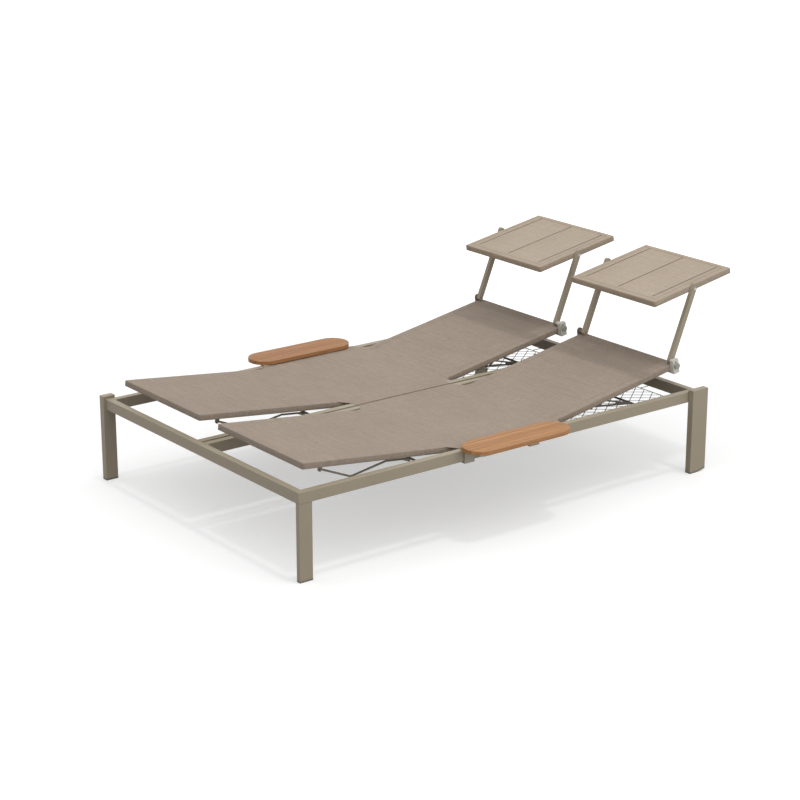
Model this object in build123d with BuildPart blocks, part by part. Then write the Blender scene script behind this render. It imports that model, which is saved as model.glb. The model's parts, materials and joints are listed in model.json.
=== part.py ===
"""Double chaise lounger: two sling beds side by side in one aluminium frame, each with a
reclining back, a raising foot section and a tilting sunshade, and two clip-on teak tables.

Millimetres. X runs across the lounger, Y from the foot to the head, Z up from the floor.
The origin is on the floor, in the middle of the whole object's footprint. The right bed is
the one on the +X side.
"""

import os
from math import asin, cos, degrees, radians, sin, sqrt

from build123d import *

os.makedirs("parts", exist_ok=True)

# Base frame
rail_frame_length = 2000.0
rail_frame_width = 1371.0
rail_top = 350.0
rail_height = 45.0
rail_width = 28.0
rail_wall = 2.0
rail_edge_radius = 2.0
center_gap = 13.0

# Legs: one pair stands under its corners, the other pair stands outside the side rails
under_leg_depth = 58.5
under_leg_thickness = 21.0
foot_outer_leg_depth = 54.7
foot_outer_leg_thickness = 30.5
foot_outer_leg_overhang = 11.7
foot_outer_leg_rise = 11.0
head_outer_leg_depth = 85.3
head_outer_leg_thickness = 29.2
head_outer_leg_overhang = 31.3
head_outer_leg_rise = 10.0
head_outer_leg_bevel = 10.0
leg_wall = 2.0
leg_edge_radius = 1.5
glide_height = 8.0
glide_plug_height = 14.0
glide_plug_clearance = 0.2

# Seat
seat_crossbar_depth = 25.0
seat_crossbar_height = 25.0
seat_foot_length = 234.0
seat_head_length = 242.0
seat_wrap_drop = 22.0
seat_ear_reach = 52.0
seat_ear_bulge = 14.0
fabric_thickness = 1.2

# Hinges of the foot and back sections
foot_hinge_distance = 247.0
back_hinge_distance = 284.0
hinge_drop = 9.5
hinge_crossbar_gap = 13.0
hinge_sheet_gap = 9.0
hinge_pin_radius = 4.0
hinge_running_fit = 0.05
hinge_lug_thickness = 4.0
hinge_lug_radius = 9.0
hinge_lug_gap = 1.0
hinge_pin_depth = 20.0
hinge_pin_head = 3.0
hinge_pin_head_radius = 6.5

# Foot and back sections
panel_side_gap = 30.0
panel_thickness = 24.4
foot_panel_end_gap = 54.0
back_panel_end_gap = 65.0
foot_angle = 6.7
back_angle = 10.07
panel_tube_width = 28.0
panel_tube_wall = 1.8
panel_cover_clearance = 0.2
panel_skirt_start = 16.0
crossbar_width = 30.0
back_brace_inset = 151.0
back_brace_width = 50.0

# Props under the sections, bent from round rod, and the racks they rest in
prop_rod_radius = 4.5
prop_limb_radius = 4.0
prop_elbow_radius = 7.5
prop_running_fit = 0.05
prop_lug_offset = 10.0
prop_lug_thickness = 4.0
prop_lug_radius = 9.0
prop_stub_length = 16.0
foot_prop_inset = 117.3
foot_prop_limb_inset = 62.5
foot_prop_drop = 36.9
foot_prop_length = 428.1
foot_prop_dip = 45.0
foot_prop_dip_share = 0.345
foot_prop_knee_share = 0.73
foot_prop_bend_radius = 30.0
foot_prop_gusset_length = 52.0
foot_prop_gusset_height = 14.0
prop_gusset_thickness = 4.0
back_prop_distance = 205.0
back_prop_limb_inset = 43.5
back_prop_drop = 26.3
back_prop_length = 235.0
back_stay_radius = 3.5
back_stay_length = 156.0
back_stay_rise = 22.0
back_stay_return = 26.0
back_stay_bend_radius = 12.0
back_prop_gusset_length = 90.0
rack_rod_drop = 30.0
rack_seat_gap = 0.3
rack_width = 12.0
rack_height = 10.0
rack_notch_depth = 2.6
rack_end_margin = 17.0
foot_rack_notches = 3
foot_rack_pitch = 11.0
back_rack_notches = 8
back_rack_pitch = 23.0
rod_end_gap = 2.5

# Storage nets under the back sections
net_thickness = 3.0
net_cord_width = 4.0
net_border_width = 6.0
net_start_distance = 306.0
net_end_gap = 40.0
net_side_gap = 10.0
net_columns = 9
net_rows = 9
net_tab_width = 8.0
net_tab_overlap = 12.0
net_tab_pitch = 150.0

# Sunshades
shade_depth = 436.0
shade_front = 210.5
shade_thickness = 19.0
shade_tilt = 10.1
shade_corner = 3.0
shade_tube_width = 22.0
shade_rib_width = 14.0
shade_rib_count = 3
shade_rib_inset = 51.25
shade_cover_clearance = 0.2
arm_thickness = 17.5
arm_width = 22.0
arm_length = 308.5
arm_tip = 13.0
arm_lean = 22.0
arm_side_gap = 0.5
clamp_arm_gap = 5.25
bracket_arm_gap = 19.25
arm_pivot_inset = 15.0
arm_pivot_height = 25.0
arm_pin_radius = 5.0
arm_pin_fit = 0.05
arm_face_gap = 0.3
shade_bolt_radius = 3.0
shade_bolt_fit = 0.05
shade_bolt_depth = 15.0
shade_bolt_head_radius = 6.0
shade_bolt_head = 3.0
shade_bolt_hole_gap = 1.0

# Shade clamps at the side of the back section
clamp_length = 32.0
clamp_thickness = 17.5
clamp_above = 11.0
clamp_below = 25.0
clamp_edge_radius = 3.0
clamp_jaw_reach = 22.0
clamp_jaw_gap = 0.3
boss_radius = 9.0
knob_height = 9.0
knob_radius = 13.0
knob_thickness = 9.0
knob_collar_radius = 8.0
knob_collar_length = 2.0
knob_screw_radius = 4.0
knob_screw_length = 10.0
knob_screw_fit = 0.05
knob_face_gap = 0.3
knob_flute_radius = 4.0
knob_flutes = 6
knob_flute_bite = 2.0
knob_edge_chamfer = 1.5
bracket_length = 27.0
bracket_thickness = 7.0
bracket_below = 8.0

# Teak tables
table_length = 500.0
table_width = 145.0
table_thickness = 16.0
table_overlap = 30.5
table_center_distance = 15.0
table_slats = 6
table_slat_gap = 1.5
table_edge_chamfer = 1.2
hook_width = 48.0
hook_plate = 4.0
hook_inset = 8.0
hook_seat_gap = 0.3
hook_flange_gap = 0.5
hook_drop = 4.0
hook_return = 26.0
hook_foot_distance = 215.0
hook_head_distance = 110.0

cut_overrun = 5.0


# Derived sizes
half_length = rail_frame_length / 2
half_width = rail_frame_width / 2
bay_inner = center_gap / 2 + rail_width
bay_outer = half_width - rail_width
bay_center = (bay_inner + bay_outer) / 2
panel_width = bay_outer - bay_inner - 2 * panel_side_gap
foot_panel_length = half_length - foot_hinge_distance - foot_panel_end_gap
back_panel_length = half_length - back_hinge_distance - back_panel_end_gap
foot_prop_distance = foot_panel_length - foot_prop_inset
arm_pivot_distance = back_panel_length - arm_pivot_inset
shade_width = (
    panel_width - 2 * (arm_side_gap + arm_thickness) - clamp_arm_gap - bracket_arm_gap
)
shade_shift = (bracket_arm_gap - clamp_arm_gap) / 2

# Derived places, measured along Y from the middle of the rail frame
hinge_z = rail_top - hinge_drop
back_cos = cos(radians(back_angle))
back_sin = sin(radians(back_angle))
shade_cos = cos(radians(shade_tilt))
shade_sin = sin(radians(shade_tilt))
arm_pivot_y = back_hinge_distance + arm_pivot_distance * back_cos - arm_pivot_height * back_sin
arm_pivot_z = hinge_z + arm_pivot_distance * back_sin + arm_pivot_height * back_cos
shade_pivot_y = arm_pivot_y + arm_length * sin(radians(arm_lean))
shade_pivot_z = arm_pivot_z + arm_length * cos(radians(arm_lean))
shade_head = (shade_depth - shade_front) * shade_cos + shade_thickness / 2 * shade_sin
foot_reach = half_length + foot_outer_leg_overhang
middle_y = (foot_reach - shade_pivot_y - shade_head) / 2

rail_bottom = rail_top - rail_height
foot_end = middle_y - half_length
head_end = middle_y + half_length
foot_hinge_y = middle_y - foot_hinge_distance
back_hinge_y = middle_y + back_hinge_distance
shade_center = bay_center + shade_shift
arm_center_offset = shade_width / 2 + arm_side_gap + arm_thickness / 2
rack_rod_z = rail_top - rack_rod_drop
rack_top = rack_rod_z - prop_rod_radius - rack_seat_gap
panel_tube_height = panel_thickness - fabric_thickness - 2 * panel_cover_clearance
panel_tube_middle = -fabric_thickness / 2
hinge_eye_radius = panel_tube_height / 2

beds = {"right": 1, "left": -1}


def save(piece, node):
    """Labels a finished sub-part and writes its file."""
    piece.part.label = node
    export_step(piece.part, f"parts/{node}.step")


def panel_plane(bed, hinge_y, angle, toward):
    """A section's own frame: x across, y away from its hinge, z out of its upper face."""
    tilt = radians(angle)
    origin = (bed * bay_center, hinge_y, hinge_z)
    return Plane(origin=origin, x_dir=(toward, 0, 0), z_dir=(0, -toward * sin(tilt), cos(tilt)))


def section_plane(frame, across):
    """The upright plane across a section's frame, with local x along it and y out of it."""
    origin = frame.origin + frame.x_dir * across
    return Plane(origin=origin, x_dir=frame.y_dir, z_dir=frame.x_dir)


def shade_plane(bed):
    """The sunshade's frame, with its origin on the tilt pivot."""
    tilt = radians(shade_tilt)
    origin = (bed * shade_center, middle_y + shade_pivot_y, shade_pivot_z)
    return Plane(origin=origin, x_dir=(1, 0, 0), z_dir=(0, -sin(tilt), cos(tilt)))


# Rails: rectangular tube, mitred at the four corners


def mitred_rail(length, across):
    """The plan of a rail or of its cavity: a bar whose ends run at 45 degrees."""
    outer, inner = across
    trim = half_width - outer
    end = length / 2 - trim
    return [(outer, -end), (outer, end), (inner, end + inner - outer), (inner, outer - inner - end)]


for bed_name, bed in beds.items():
    with BuildPart() as side_rail:
        with BuildSketch(Plane.XY.offset(rail_bottom)):
            with Locations((0, middle_y)):
                Polygon(
                    *[(bed * x, y) for x, y in mitred_rail(rail_frame_length, (half_width, bay_outer))],
                    align=None,
                )
        extrude(amount=rail_height)
        fillet(side_rail.edges().filter_by(Axis.Y), rail_edge_radius)
        with BuildSketch(Plane.XY.offset(rail_bottom + rail_wall)):
            with Locations((0, middle_y)):
                walls = (half_width - rail_wall, bay_outer + rail_wall)
                Polygon(
                    *[(bed * x, y) for x, y in mitred_rail(rail_frame_length, walls)], align=None
                )
        extrude(amount=rail_height - 2 * rail_wall, mode=Mode.SUBTRACT)
    save(side_rail, f"{bed_name}_side_rail")

for end_name, end in {"foot": -1, "head": 1}.items():
    with BuildPart() as end_rail:
        with BuildSketch(Plane.XY.offset(rail_bottom)):
            with Locations((0, middle_y)):
                Polygon(
                    (-half_width, end * half_length),
                    (half_width, end * half_length),
                    (bay_outer, end * (half_length - rail_width)),
                    (-bay_outer, end * (half_length - rail_width)),
                    align=None,
                )
        extrude(amount=rail_height)
        fillet(end_rail.edges().filter_by(Axis.X), rail_edge_radius)
        with BuildSketch(Plane.XY.offset(rail_bottom + rail_wall)):
            with Locations((0, middle_y)):
                Polygon(
                    (rail_wall - half_width, end * (half_length - rail_wall)),
                    (half_width - rail_wall, end * (half_length - rail_wall)),
                    (bay_outer + rail_wall, end * (half_length - rail_width + rail_wall)),
                    (-bay_outer - rail_wall, end * (half_length - rail_width + rail_wall)),
                    align=None,
                )
        extrude(amount=rail_height - 2 * rail_wall, mode=Mode.SUBTRACT)
    save(end_rail, f"{end_name}_rail")

for bed_name, bed in beds.items():
    with BuildPart() as center_rail:
        rail_start = Plane.XZ.offset(half_length - rail_width - middle_y)
        with BuildSketch(rail_start):
            with Locations((bed * (bay_inner - rail_width / 2), rail_top - rail_height / 2)):
                RectangleRounded(rail_width, rail_height, rail_edge_radius)
                Rectangle(
                    rail_width - 2 * rail_wall, rail_height - 2 * rail_wall, mode=Mode.SUBTRACT
                )
        extrude(amount=2 * rail_width - rail_frame_length)
    save(center_rail, f"{bed_name}_center_rail")

# Legs: flat tube, closed at the top, with a plastic glide in the open bottom


def leg_foot(start, end, height, bevel):
    """The underside of a leg seen from its side; a bevel rises over its outer half."""
    return [(start, height), ((start + end) / 2, height), (end, height + bevel)]


def leg_solid(side_plane, outline, thickness, inner_outline):
    """A leg from its side outline, hollowed by the inner outline."""
    with BuildPart() as leg:
        with BuildSketch(side_plane):
            Polygon(*outline, align=None)
        extrude(amount=thickness / 2, both=True)
        fillet(leg.edges().filter_by(Axis.Z), leg_edge_radius)
        with BuildSketch(side_plane):
            Polygon(*inner_outline, align=None)
        extrude(amount=thickness / 2 - leg_wall, both=True, mode=Mode.SUBTRACT)
    return leg


def glide_solid(side_plane, outline, thickness, plug_outline):
    """A glide that carries the leg's outline to the floor, with a plug inside the tube."""
    with BuildPart() as glide:
        with BuildSketch(side_plane):
            Polygon(*outline, align=None)
        extrude(amount=thickness / 2, both=True)
        fillet(glide.edges().filter_by(Axis.Z), leg_edge_radius)
        with BuildSketch(side_plane):
            Polygon(*plug_outline, align=None)
        extrude(amount=thickness / 2 - leg_wall - glide_plug_clearance, both=True)
    return glide.part


under_leg_x = half_width - under_leg_thickness / 2
leg_table = {
    "foot_right_leg": (
        under_leg_x,
        (foot_end, foot_end + under_leg_depth),
        under_leg_thickness,
        rail_bottom,
        0,
    ),
    "head_left_leg": (
        -under_leg_x,
        (head_end - under_leg_depth, head_end),
        under_leg_thickness,
        rail_bottom,
        0,
    ),
    "foot_left_leg": (
        -half_width - foot_outer_leg_thickness / 2,
        (
            foot_end - foot_outer_leg_overhang,
            foot_end - foot_outer_leg_overhang + foot_outer_leg_depth,
        ),
        foot_outer_leg_thickness,
        rail_top + foot_outer_leg_rise,
        0,
    ),
    "head_right_leg": (
        half_width + head_outer_leg_thickness / 2,
        (
            head_end + head_outer_leg_overhang - head_outer_leg_depth,
            head_end + head_outer_leg_overhang,
        ),
        head_outer_leg_thickness,
        rail_top + head_outer_leg_rise,
        head_outer_leg_bevel,
    ),
}

glides = []
for leg_name, (leg_x, (leg_start, leg_end), thickness, top, bevel) in leg_table.items():
    side_plane = Plane.YZ.offset(leg_x)
    outline = leg_foot(leg_start, leg_end, glide_height, bevel)
    outline += [(leg_end, top), (leg_start, top)]
    cavity = leg_foot(leg_start + leg_wall, leg_end - leg_wall, -cut_overrun, 0)
    cavity += [(leg_end - leg_wall, top - leg_wall), (leg_start + leg_wall, top - leg_wall)]
    save(leg_solid(side_plane, outline, thickness, cavity), leg_name)
    sole = leg_foot(leg_start, leg_end, 0, bevel)
    sole += reversed(leg_foot(leg_start, leg_end, glide_height, bevel))
    plug_start = leg_start + leg_wall + glide_plug_clearance
    plug_end = leg_end - leg_wall - glide_plug_clearance
    plug_top = glide_height + bevel + glide_plug_height
    plug = leg_foot(plug_start, plug_end, glide_height - leg_wall, bevel)
    plug += [(plug_end, plug_top), (plug_start, plug_top)]
    glides.append(glide_solid(side_plane, sole, thickness, plug))

with BuildPart() as leg_glides:
    for glide in glides:
        add(glide)
save(leg_glides, "leg_glides")

# Seats: two crossbars in each bay, hinge lugs on them, and the sling over the rails

foot_crossbar_y = foot_hinge_y + hinge_crossbar_gap + seat_crossbar_depth / 2
back_crossbar_y = back_hinge_y - hinge_crossbar_gap - seat_crossbar_depth / 2

with BuildPart() as seat_crossbars:
    for bed in beds.values():
        with BuildSketch(Plane.YZ.offset(bed * bay_inner)):
            for bar_y in (foot_crossbar_y, back_crossbar_y):
                with Locations((bar_y, rail_top - seat_crossbar_height / 2)):
                    Rectangle(seat_crossbar_depth, seat_crossbar_height)
                    Rectangle(
                        seat_crossbar_depth - 2 * rail_wall,
                        seat_crossbar_height - 2 * rail_wall,
                        mode=Mode.SUBTRACT,
                    )
        extrude(amount=bed * (bay_outer - bay_inner))
save(seat_crossbars, "seat_crossbars")

lug_offset = panel_width / 2 + hinge_lug_gap + hinge_lug_thickness / 2

with BuildPart() as hinge_lugs:
    for bed in beds.values():
        for side in (-1, 1):
            with BuildSketch(Plane.YZ.offset(bed * bay_center + side * lug_offset)):
                for hinge_y, toward in ((foot_hinge_y, 1), (back_hinge_y, -1)):
                    with Locations((hinge_y, hinge_z)):
                        Circle(hinge_lug_radius)
                    with Locations((hinge_y + toward * hinge_crossbar_gap / 2, hinge_z)):
                        Rectangle(hinge_crossbar_gap, 2 * hinge_lug_radius)
                    with Locations((hinge_y, hinge_z)):
                        Circle(hinge_pin_radius + hinge_running_fit, mode=Mode.SUBTRACT)
            extrude(amount=hinge_lug_thickness / 2, both=True)
save(hinge_lugs, "hinge_lugs")

with BuildPart() as hinge_pins:
    for bed in beds.values():
        for side in (-1, 1):
            for hinge_y in (foot_hinge_y, back_hinge_y):
                pin_tip = bed * bay_center + side * (panel_width / 2 - hinge_pin_depth)
                pin_length = hinge_pin_depth + hinge_lug_gap + hinge_lug_thickness
                with BuildSketch(Plane.YZ.offset(pin_tip)):
                    with Locations((hinge_y, hinge_z)):
                        Circle(hinge_pin_radius)
                extrude(amount=side * (pin_length + hinge_pin_head))
                with BuildSketch(Plane.YZ.offset(pin_tip + side * pin_length)):
                    with Locations((hinge_y, hinge_z)):
                        Circle(hinge_pin_head_radius)
                extrude(amount=side * hinge_pin_head)
save(hinge_pins, "hinge_pins")

for bed_name, bed in beds.items():
    sheet_inner = bed * (center_gap / 2 - fabric_thickness)
    sheet_outer = bed * (half_width + fabric_thickness)
    seat_foot = middle_y - seat_foot_length
    seat_head = middle_y + seat_head_length
    with BuildPart() as seat_sling:
        with BuildSketch(Plane.XY.offset(rail_top)):
            with BuildLine():
                Polyline(
                    (sheet_inner, seat_head),
                    (sheet_inner, seat_foot),
                    (sheet_outer, seat_foot),
                    (sheet_outer, seat_head),
                    close=True,
                )
            make_face()
            with Locations((bed * bay_center, (foot_hinge_y + back_hinge_y) / 2)):
                Rectangle(panel_width, back_hinge_y - foot_hinge_y - 2 * hinge_sheet_gap)
            for side in (-1, 1):
                edge = bed * bay_center + side * (panel_width / 2 + hinge_lug_gap)
                rim = sheet_outer if side == bed else sheet_inner
                for hem, toward in ((seat_foot, -1), (seat_head, 1)):
                    bulge = ((edge + rim) / 2, hem + toward * (seat_ear_reach / 2 - seat_ear_bulge))
                    with BuildLine():
                        Polyline((rim, hem), (edge, hem), (edge, hem + toward * seat_ear_reach))
                        ThreePointArc((edge, hem + toward * seat_ear_reach), bulge, (rim, hem))
                    make_face()
        extrude(amount=fabric_thickness)
        for wrap, start in (
            (fabric_thickness, bed * half_width),
            (-fabric_thickness, bed * center_gap / 2),
        ):
            with BuildSketch(Plane.YZ.offset(start)):
                with Locations((middle_y + (seat_head_length - seat_foot_length) / 2, rail_top)):
                    Rectangle(
                        seat_head_length + seat_foot_length,
                        seat_wrap_drop,
                        align=(Align.CENTER, Align.MAX),
                    )
            extrude(amount=bed * wrap)
    save(seat_sling, f"{bed_name}_seat_sling")

# Storage nets: a diamond mesh in a border, tied under the rails

net_top = rail_bottom
net_width = bay_outer - bay_inner - 2 * net_side_gap
net_length = half_length - rail_width - net_start_distance - net_end_gap
net_center_y = middle_y + net_start_distance + net_length / 2
mesh_width = net_width - 2 * net_border_width
mesh_length = net_length - 2 * net_border_width
cell_width = mesh_width / net_columns
cell_length = mesh_length / net_rows
cord_slope = sqrt(cell_width**2 + cell_length**2)
hole_width = cell_width - net_cord_width * cord_slope / cell_length
hole_length = cell_length - net_cord_width * cord_slope / cell_width


def mesh_gaps(columns, rows):
    """A grid of diamond gaps; two such grids, one set between the other, leave the cords."""
    corners = [
        (-hole_width / 2, 0),
        (0, -hole_length / 2),
        (hole_width / 2, 0),
        (0, hole_length / 2),
    ]
    with GridLocations(cell_width, cell_length, columns, rows):
        Polygon(*corners, align=None)


for bed_name, bed in beds.items():
    with BuildPart() as storage_net:
        with BuildSketch(Plane.XY.offset(net_top - net_thickness)):
            with Locations((bed * bay_center, net_center_y)):
                Rectangle(net_width, net_length)
                reach = net_side_gap + net_tab_overlap
                tab_rows = int(net_length // net_tab_pitch)
                with GridLocations(net_width + reach, net_tab_pitch, 2, tab_rows):
                    Rectangle(reach, net_tab_width)
            tab_start = net_center_y + net_length / 2
            tab_end = head_end - rail_width + net_tab_overlap
            tab_columns = int(net_width // net_tab_pitch)
            with Locations((bed * bay_center, (tab_start + tab_end) / 2)):
                with GridLocations(net_tab_pitch, 0, tab_columns, 1):
                    Rectangle(net_tab_width, tab_end - tab_start)
        extrude(amount=net_thickness)
        with BuildSketch(Plane.XY.offset(net_top - net_thickness)):
            with Locations((bed * bay_center, net_center_y)):
                mesh_gaps(net_columns, net_rows)
                mesh_gaps(net_columns + 1, net_rows + 1)
                Rectangle(mesh_width, mesh_length, mode=Mode.INTERSECT)
        extrude(amount=net_thickness, mode=Mode.SUBTRACT)
    save(storage_net, f"{bed_name}_storage_net")

# Foot and back sections


def section_side_tubes(frame, length):
    """Two side tubes, each ending in a bored eye on the hinge axis."""
    tube_length = length - fabric_thickness - panel_cover_clearance
    with BuildPart() as tubes:
        for side in (-1, 1):
            across = side * (
                panel_width / 2 - fabric_thickness - panel_cover_clearance - panel_tube_width / 2
            )
            upright = section_plane(frame, across)
            with BuildSketch(upright):
                with Locations((0, panel_tube_middle)):
                    Rectangle(tube_length, panel_tube_height, align=(Align.MIN, Align.CENTER))
                    Circle(hinge_eye_radius)
            extrude(amount=panel_tube_width / 2, both=True)
            with BuildSketch(upright):
                with Locations((2 * hinge_eye_radius, panel_tube_middle)):
                    Rectangle(
                        tube_length - 2 * hinge_eye_radius + cut_overrun,
                        panel_tube_height - 2 * panel_tube_wall,
                        align=(Align.MIN, Align.CENTER),
                    )
            extrude(
                amount=panel_tube_width / 2 - panel_tube_wall, both=True, mode=Mode.SUBTRACT
            )
            with BuildSketch(upright):
                Circle(hinge_pin_radius + hinge_running_fit)
            extrude(amount=panel_tube_width, both=True, mode=Mode.SUBTRACT)
    return tubes


def section_cross_tubes(frame, bars, lug_place):
    """The round hinge tube, the flat cross tubes, and lugs for the prop under one of them."""
    lug_distance, lug_drop, limb_inset = lug_place
    span = panel_width - 2 * (fabric_thickness + panel_cover_clearance + panel_tube_width)
    with BuildPart() as tubes:
        with BuildSketch(section_plane(frame, 0)):
            with Locations((0, panel_tube_middle)):
                Circle(hinge_eye_radius)
                Circle(hinge_eye_radius - panel_tube_wall, mode=Mode.SUBTRACT)
            for center, width in bars:
                with Locations((center, panel_tube_middle)):
                    Rectangle(width, panel_tube_height)
                    Rectangle(
                        width - 2 * panel_tube_wall,
                        panel_tube_height - 2 * panel_tube_wall,
                        mode=Mode.SUBTRACT,
                    )
        extrude(amount=span / 2, both=True)
        tube_underside = panel_tube_middle - panel_tube_height / 2
        for side in (-1, 1):
            across = side * (panel_width / 2 - limb_inset + prop_lug_offset)
            with BuildSketch(section_plane(frame, across)):
                with Locations((lug_distance, tube_underside)):
                    Rectangle(
                        2 * prop_lug_radius,
                        lug_drop + tube_underside,
                        align=(Align.CENTER, Align.MAX),
                    )
                with Locations((lug_distance, -lug_drop)):
                    Circle(prop_lug_radius)
                    Circle(prop_limb_radius + prop_running_fit, mode=Mode.SUBTRACT)
            extrude(amount=prop_lug_thickness / 2, both=True)
    return tubes


def section_sling(frame, length):
    """The sling over a section: a sheet on top, turned down over the sides and the end."""
    with BuildPart() as sling:
        with BuildSketch(frame.offset(panel_thickness / 2 - fabric_thickness)):
            Rectangle(panel_width, length, align=(Align.CENTER, Align.MIN))
        extrude(amount=fabric_thickness)
        with BuildSketch(frame.offset(-panel_thickness / 2)):
            with Locations((0, panel_skirt_start)):
                Rectangle(
                    panel_width, length - panel_skirt_start, align=(Align.CENTER, Align.MIN)
                )
                Rectangle(
                    panel_width - 2 * fabric_thickness,
                    length - panel_skirt_start - fabric_thickness,
                    align=(Align.CENTER, Align.MIN),
                    mode=Mode.SUBTRACT,
                )
        extrude(amount=panel_thickness - fabric_thickness)
    return sling


def end_bar(length):
    """Center and width of the tube along a section's free end."""
    return (
        length - fabric_thickness - panel_cover_clearance - crossbar_width / 2,
        crossbar_width,
    )


for bed_name, bed in beds.items():
    foot_frame = panel_plane(bed, foot_hinge_y, foot_angle, -1)
    back_frame = panel_plane(bed, back_hinge_y, back_angle, 1)
    foot_bars = [end_bar(foot_panel_length), (foot_prop_distance, crossbar_width)]
    back_bars = [
        end_bar(back_panel_length),
        (back_panel_length - back_brace_inset, back_brace_width),
        (back_prop_distance, crossbar_width),
    ]
    save(section_side_tubes(foot_frame, foot_panel_length), f"{bed_name}_foot_side_tubes")
    save(section_side_tubes(back_frame, back_panel_length), f"{bed_name}_back_side_tubes")
    foot_lugs = (foot_prop_distance, foot_prop_drop, foot_prop_limb_inset)
    back_lugs = (back_prop_distance, back_prop_drop, back_prop_limb_inset)
    save(section_cross_tubes(foot_frame, foot_bars, foot_lugs), f"{bed_name}_foot_cross_tubes")
    save(section_cross_tubes(back_frame, back_bars, back_lugs), f"{bed_name}_back_cross_tubes")
    save(section_sling(foot_frame, foot_panel_length), f"{bed_name}_foot_sling")
    save(section_sling(back_frame, back_panel_length), f"{bed_name}_back_sling")

# Props: two limbs, stubs that turn in the lugs, and a cross rod that rests in the racks


def prop_route(frame, pivot_place, length, knees):
    """The limb's route from its pivot to the rack, as Y and Z in the plane of one limb."""
    distance, drop = pivot_place
    pivot = frame.from_local_coords(Vector(0, distance, -drop))
    rise = pivot.Z - rack_rod_z
    run = sqrt(length**2 - rise**2)
    rest = (pivot.Y + run, rack_rod_z)
    route = [(pivot.Y, pivot.Z)]
    for share, dip in knees:
        along = pivot.Y + run * share
        route.append((along, pivot.Z - rise * share - dip))
    return route + [rest]


def add_cross_rod(bed, place):
    """The rod across the bay that rests in the racks on both sides."""
    with BuildPart() as rod:
        with BuildSketch(Plane.YZ.offset(bed * bay_center)):
            with Locations(place):
                Circle(prop_rod_radius)
        extrude(amount=(bay_outer - bay_inner) / 2 - rod_end_gap, both=True)
    return rod.part


def bent_rod(points, radii, rod_radius):
    """Round rod along straight runs joined by arcs."""
    with BuildPart() as rod:
        with BuildLine() as path:
            if radii:
                FilletPolyline(*points, radius=radii)
            else:
                Line(*points)
        with BuildSketch(Plane(origin=path.line @ 0, z_dir=path.line % 0)):
            Circle(rod_radius)
        sweep(path=path.line)
    return rod.part


def gusset_plate(limb_x, corners):
    """A flat plate in the plane of one limb."""
    with BuildPart() as plate:
        with BuildSketch(Plane.YZ.offset(limb_x)):
            Polygon(*corners, align=None)
        extrude(amount=prop_gusset_thickness / 2, both=True)
    return plate.part


foot_knees = [(foot_prop_dip_share, foot_prop_dip), (foot_prop_knee_share, 0)]
foot_route = prop_route(
    panel_plane(1, foot_hinge_y, foot_angle, -1),
    (foot_prop_distance, foot_prop_drop),
    foot_prop_length,
    foot_knees,
)
back_route = prop_route(
    panel_plane(1, back_hinge_y, back_angle, 1), (back_prop_distance, back_prop_drop),
    back_prop_length, [],
)
foot_run = Vector(*foot_route[-2]) - Vector(*foot_route[-1])
back_run = Vector(*back_route[0]) - Vector(*back_route[-1])
foot_rest = Vector(*foot_route[-1])
back_rest = Vector(*back_route[-1])
back_along = back_run.normalized()
back_upward = Vector(-back_along.Y, back_along.X) * -1
stay_knee = back_rest + back_along * back_stay_length + back_upward * back_stay_rise
stay_end = back_rest + back_along * (back_stay_length + back_stay_return)
stay_slope = (stay_knee - back_rest).normalized()

for bed_name, bed in beds.items():
    with BuildPart() as foot_prop:
        add(add_cross_rod(bed, foot_route[-1]))
        for side in (-1, 1):
            limb_x = bed * bay_center + side * (panel_width / 2 - foot_prop_limb_inset)
            stub = (limb_x + side * prop_stub_length, *foot_route[0])
            limb = [stub] + [(limb_x, *point) for point in foot_route]
            bends = [prop_elbow_radius, foot_prop_bend_radius, foot_prop_bend_radius]
            add(bent_rod(limb, bends, prop_limb_radius))
            along = foot_rest + foot_run.normalized() * foot_prop_gusset_length
            low = foot_rest - Vector(0, foot_prop_gusset_height)
            corners = [(p.X, p.Y) for p in (foot_rest, along, low)]
            add(gusset_plate(limb_x, corners))
    save(foot_prop, f"{bed_name}_foot_prop")

    with BuildPart() as back_prop:
        add(add_cross_rod(bed, back_route[-1]))
        for side in (-1, 1):
            limb_x = bed * bay_center + side * (panel_width / 2 - back_prop_limb_inset)
            stub = (limb_x + side * prop_stub_length, *back_route[0])
            limb = [stub] + [(limb_x, *point) for point in back_route]
            add(bent_rod(limb, [prop_elbow_radius], prop_limb_radius))
            stay = [(limb_x, p.X, p.Y) for p in (back_rest, stay_knee, stay_end)]
            add(bent_rod(stay, [back_stay_bend_radius], back_stay_radius))
            reach = [back_along * back_prop_gusset_length, stay_slope * back_prop_gusset_length]
            corners = [(p.X, p.Y) for p in (back_rest, back_rest + reach[0], back_rest + reach[1])]
            add(gusset_plate(limb_x, corners))
    save(back_prop, f"{bed_name}_back_prop")

# Racks: ledges on the inner faces of the rails, notched on top from the rod towards the foot


def rack_ledges(rod_y, notches, pitch):
    """Four notched ledges, one on each side of each bay."""
    row_center = rod_y - (notches - 1) * pitch / 2
    length = (notches - 1) * pitch + 2 * rack_end_margin
    notch_side = rack_notch_depth * sqrt(2)
    with BuildPart() as racks:
        for bed in beds.values():
            for rail_face, inward in ((bay_inner, 1), (bay_outer, -1)):
                with BuildSketch(Plane.YZ.offset(bed * rail_face)):
                    with Locations((row_center, rack_top)):
                        Rectangle(length, rack_height, align=(Align.CENTER, Align.MAX))
                        with GridLocations(pitch, 0, notches, 1):
                            Rectangle(notch_side, notch_side, rotation=45, mode=Mode.SUBTRACT)
                extrude(amount=bed * inward * rack_width)
    return racks


save(rack_ledges(foot_route[-1][0], foot_rack_notches, foot_rack_pitch), "foot_prop_racks")
save(rack_ledges(back_route[-1][0], back_rack_notches, back_rack_pitch), "back_prop_racks")

# Sunshades


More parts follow.
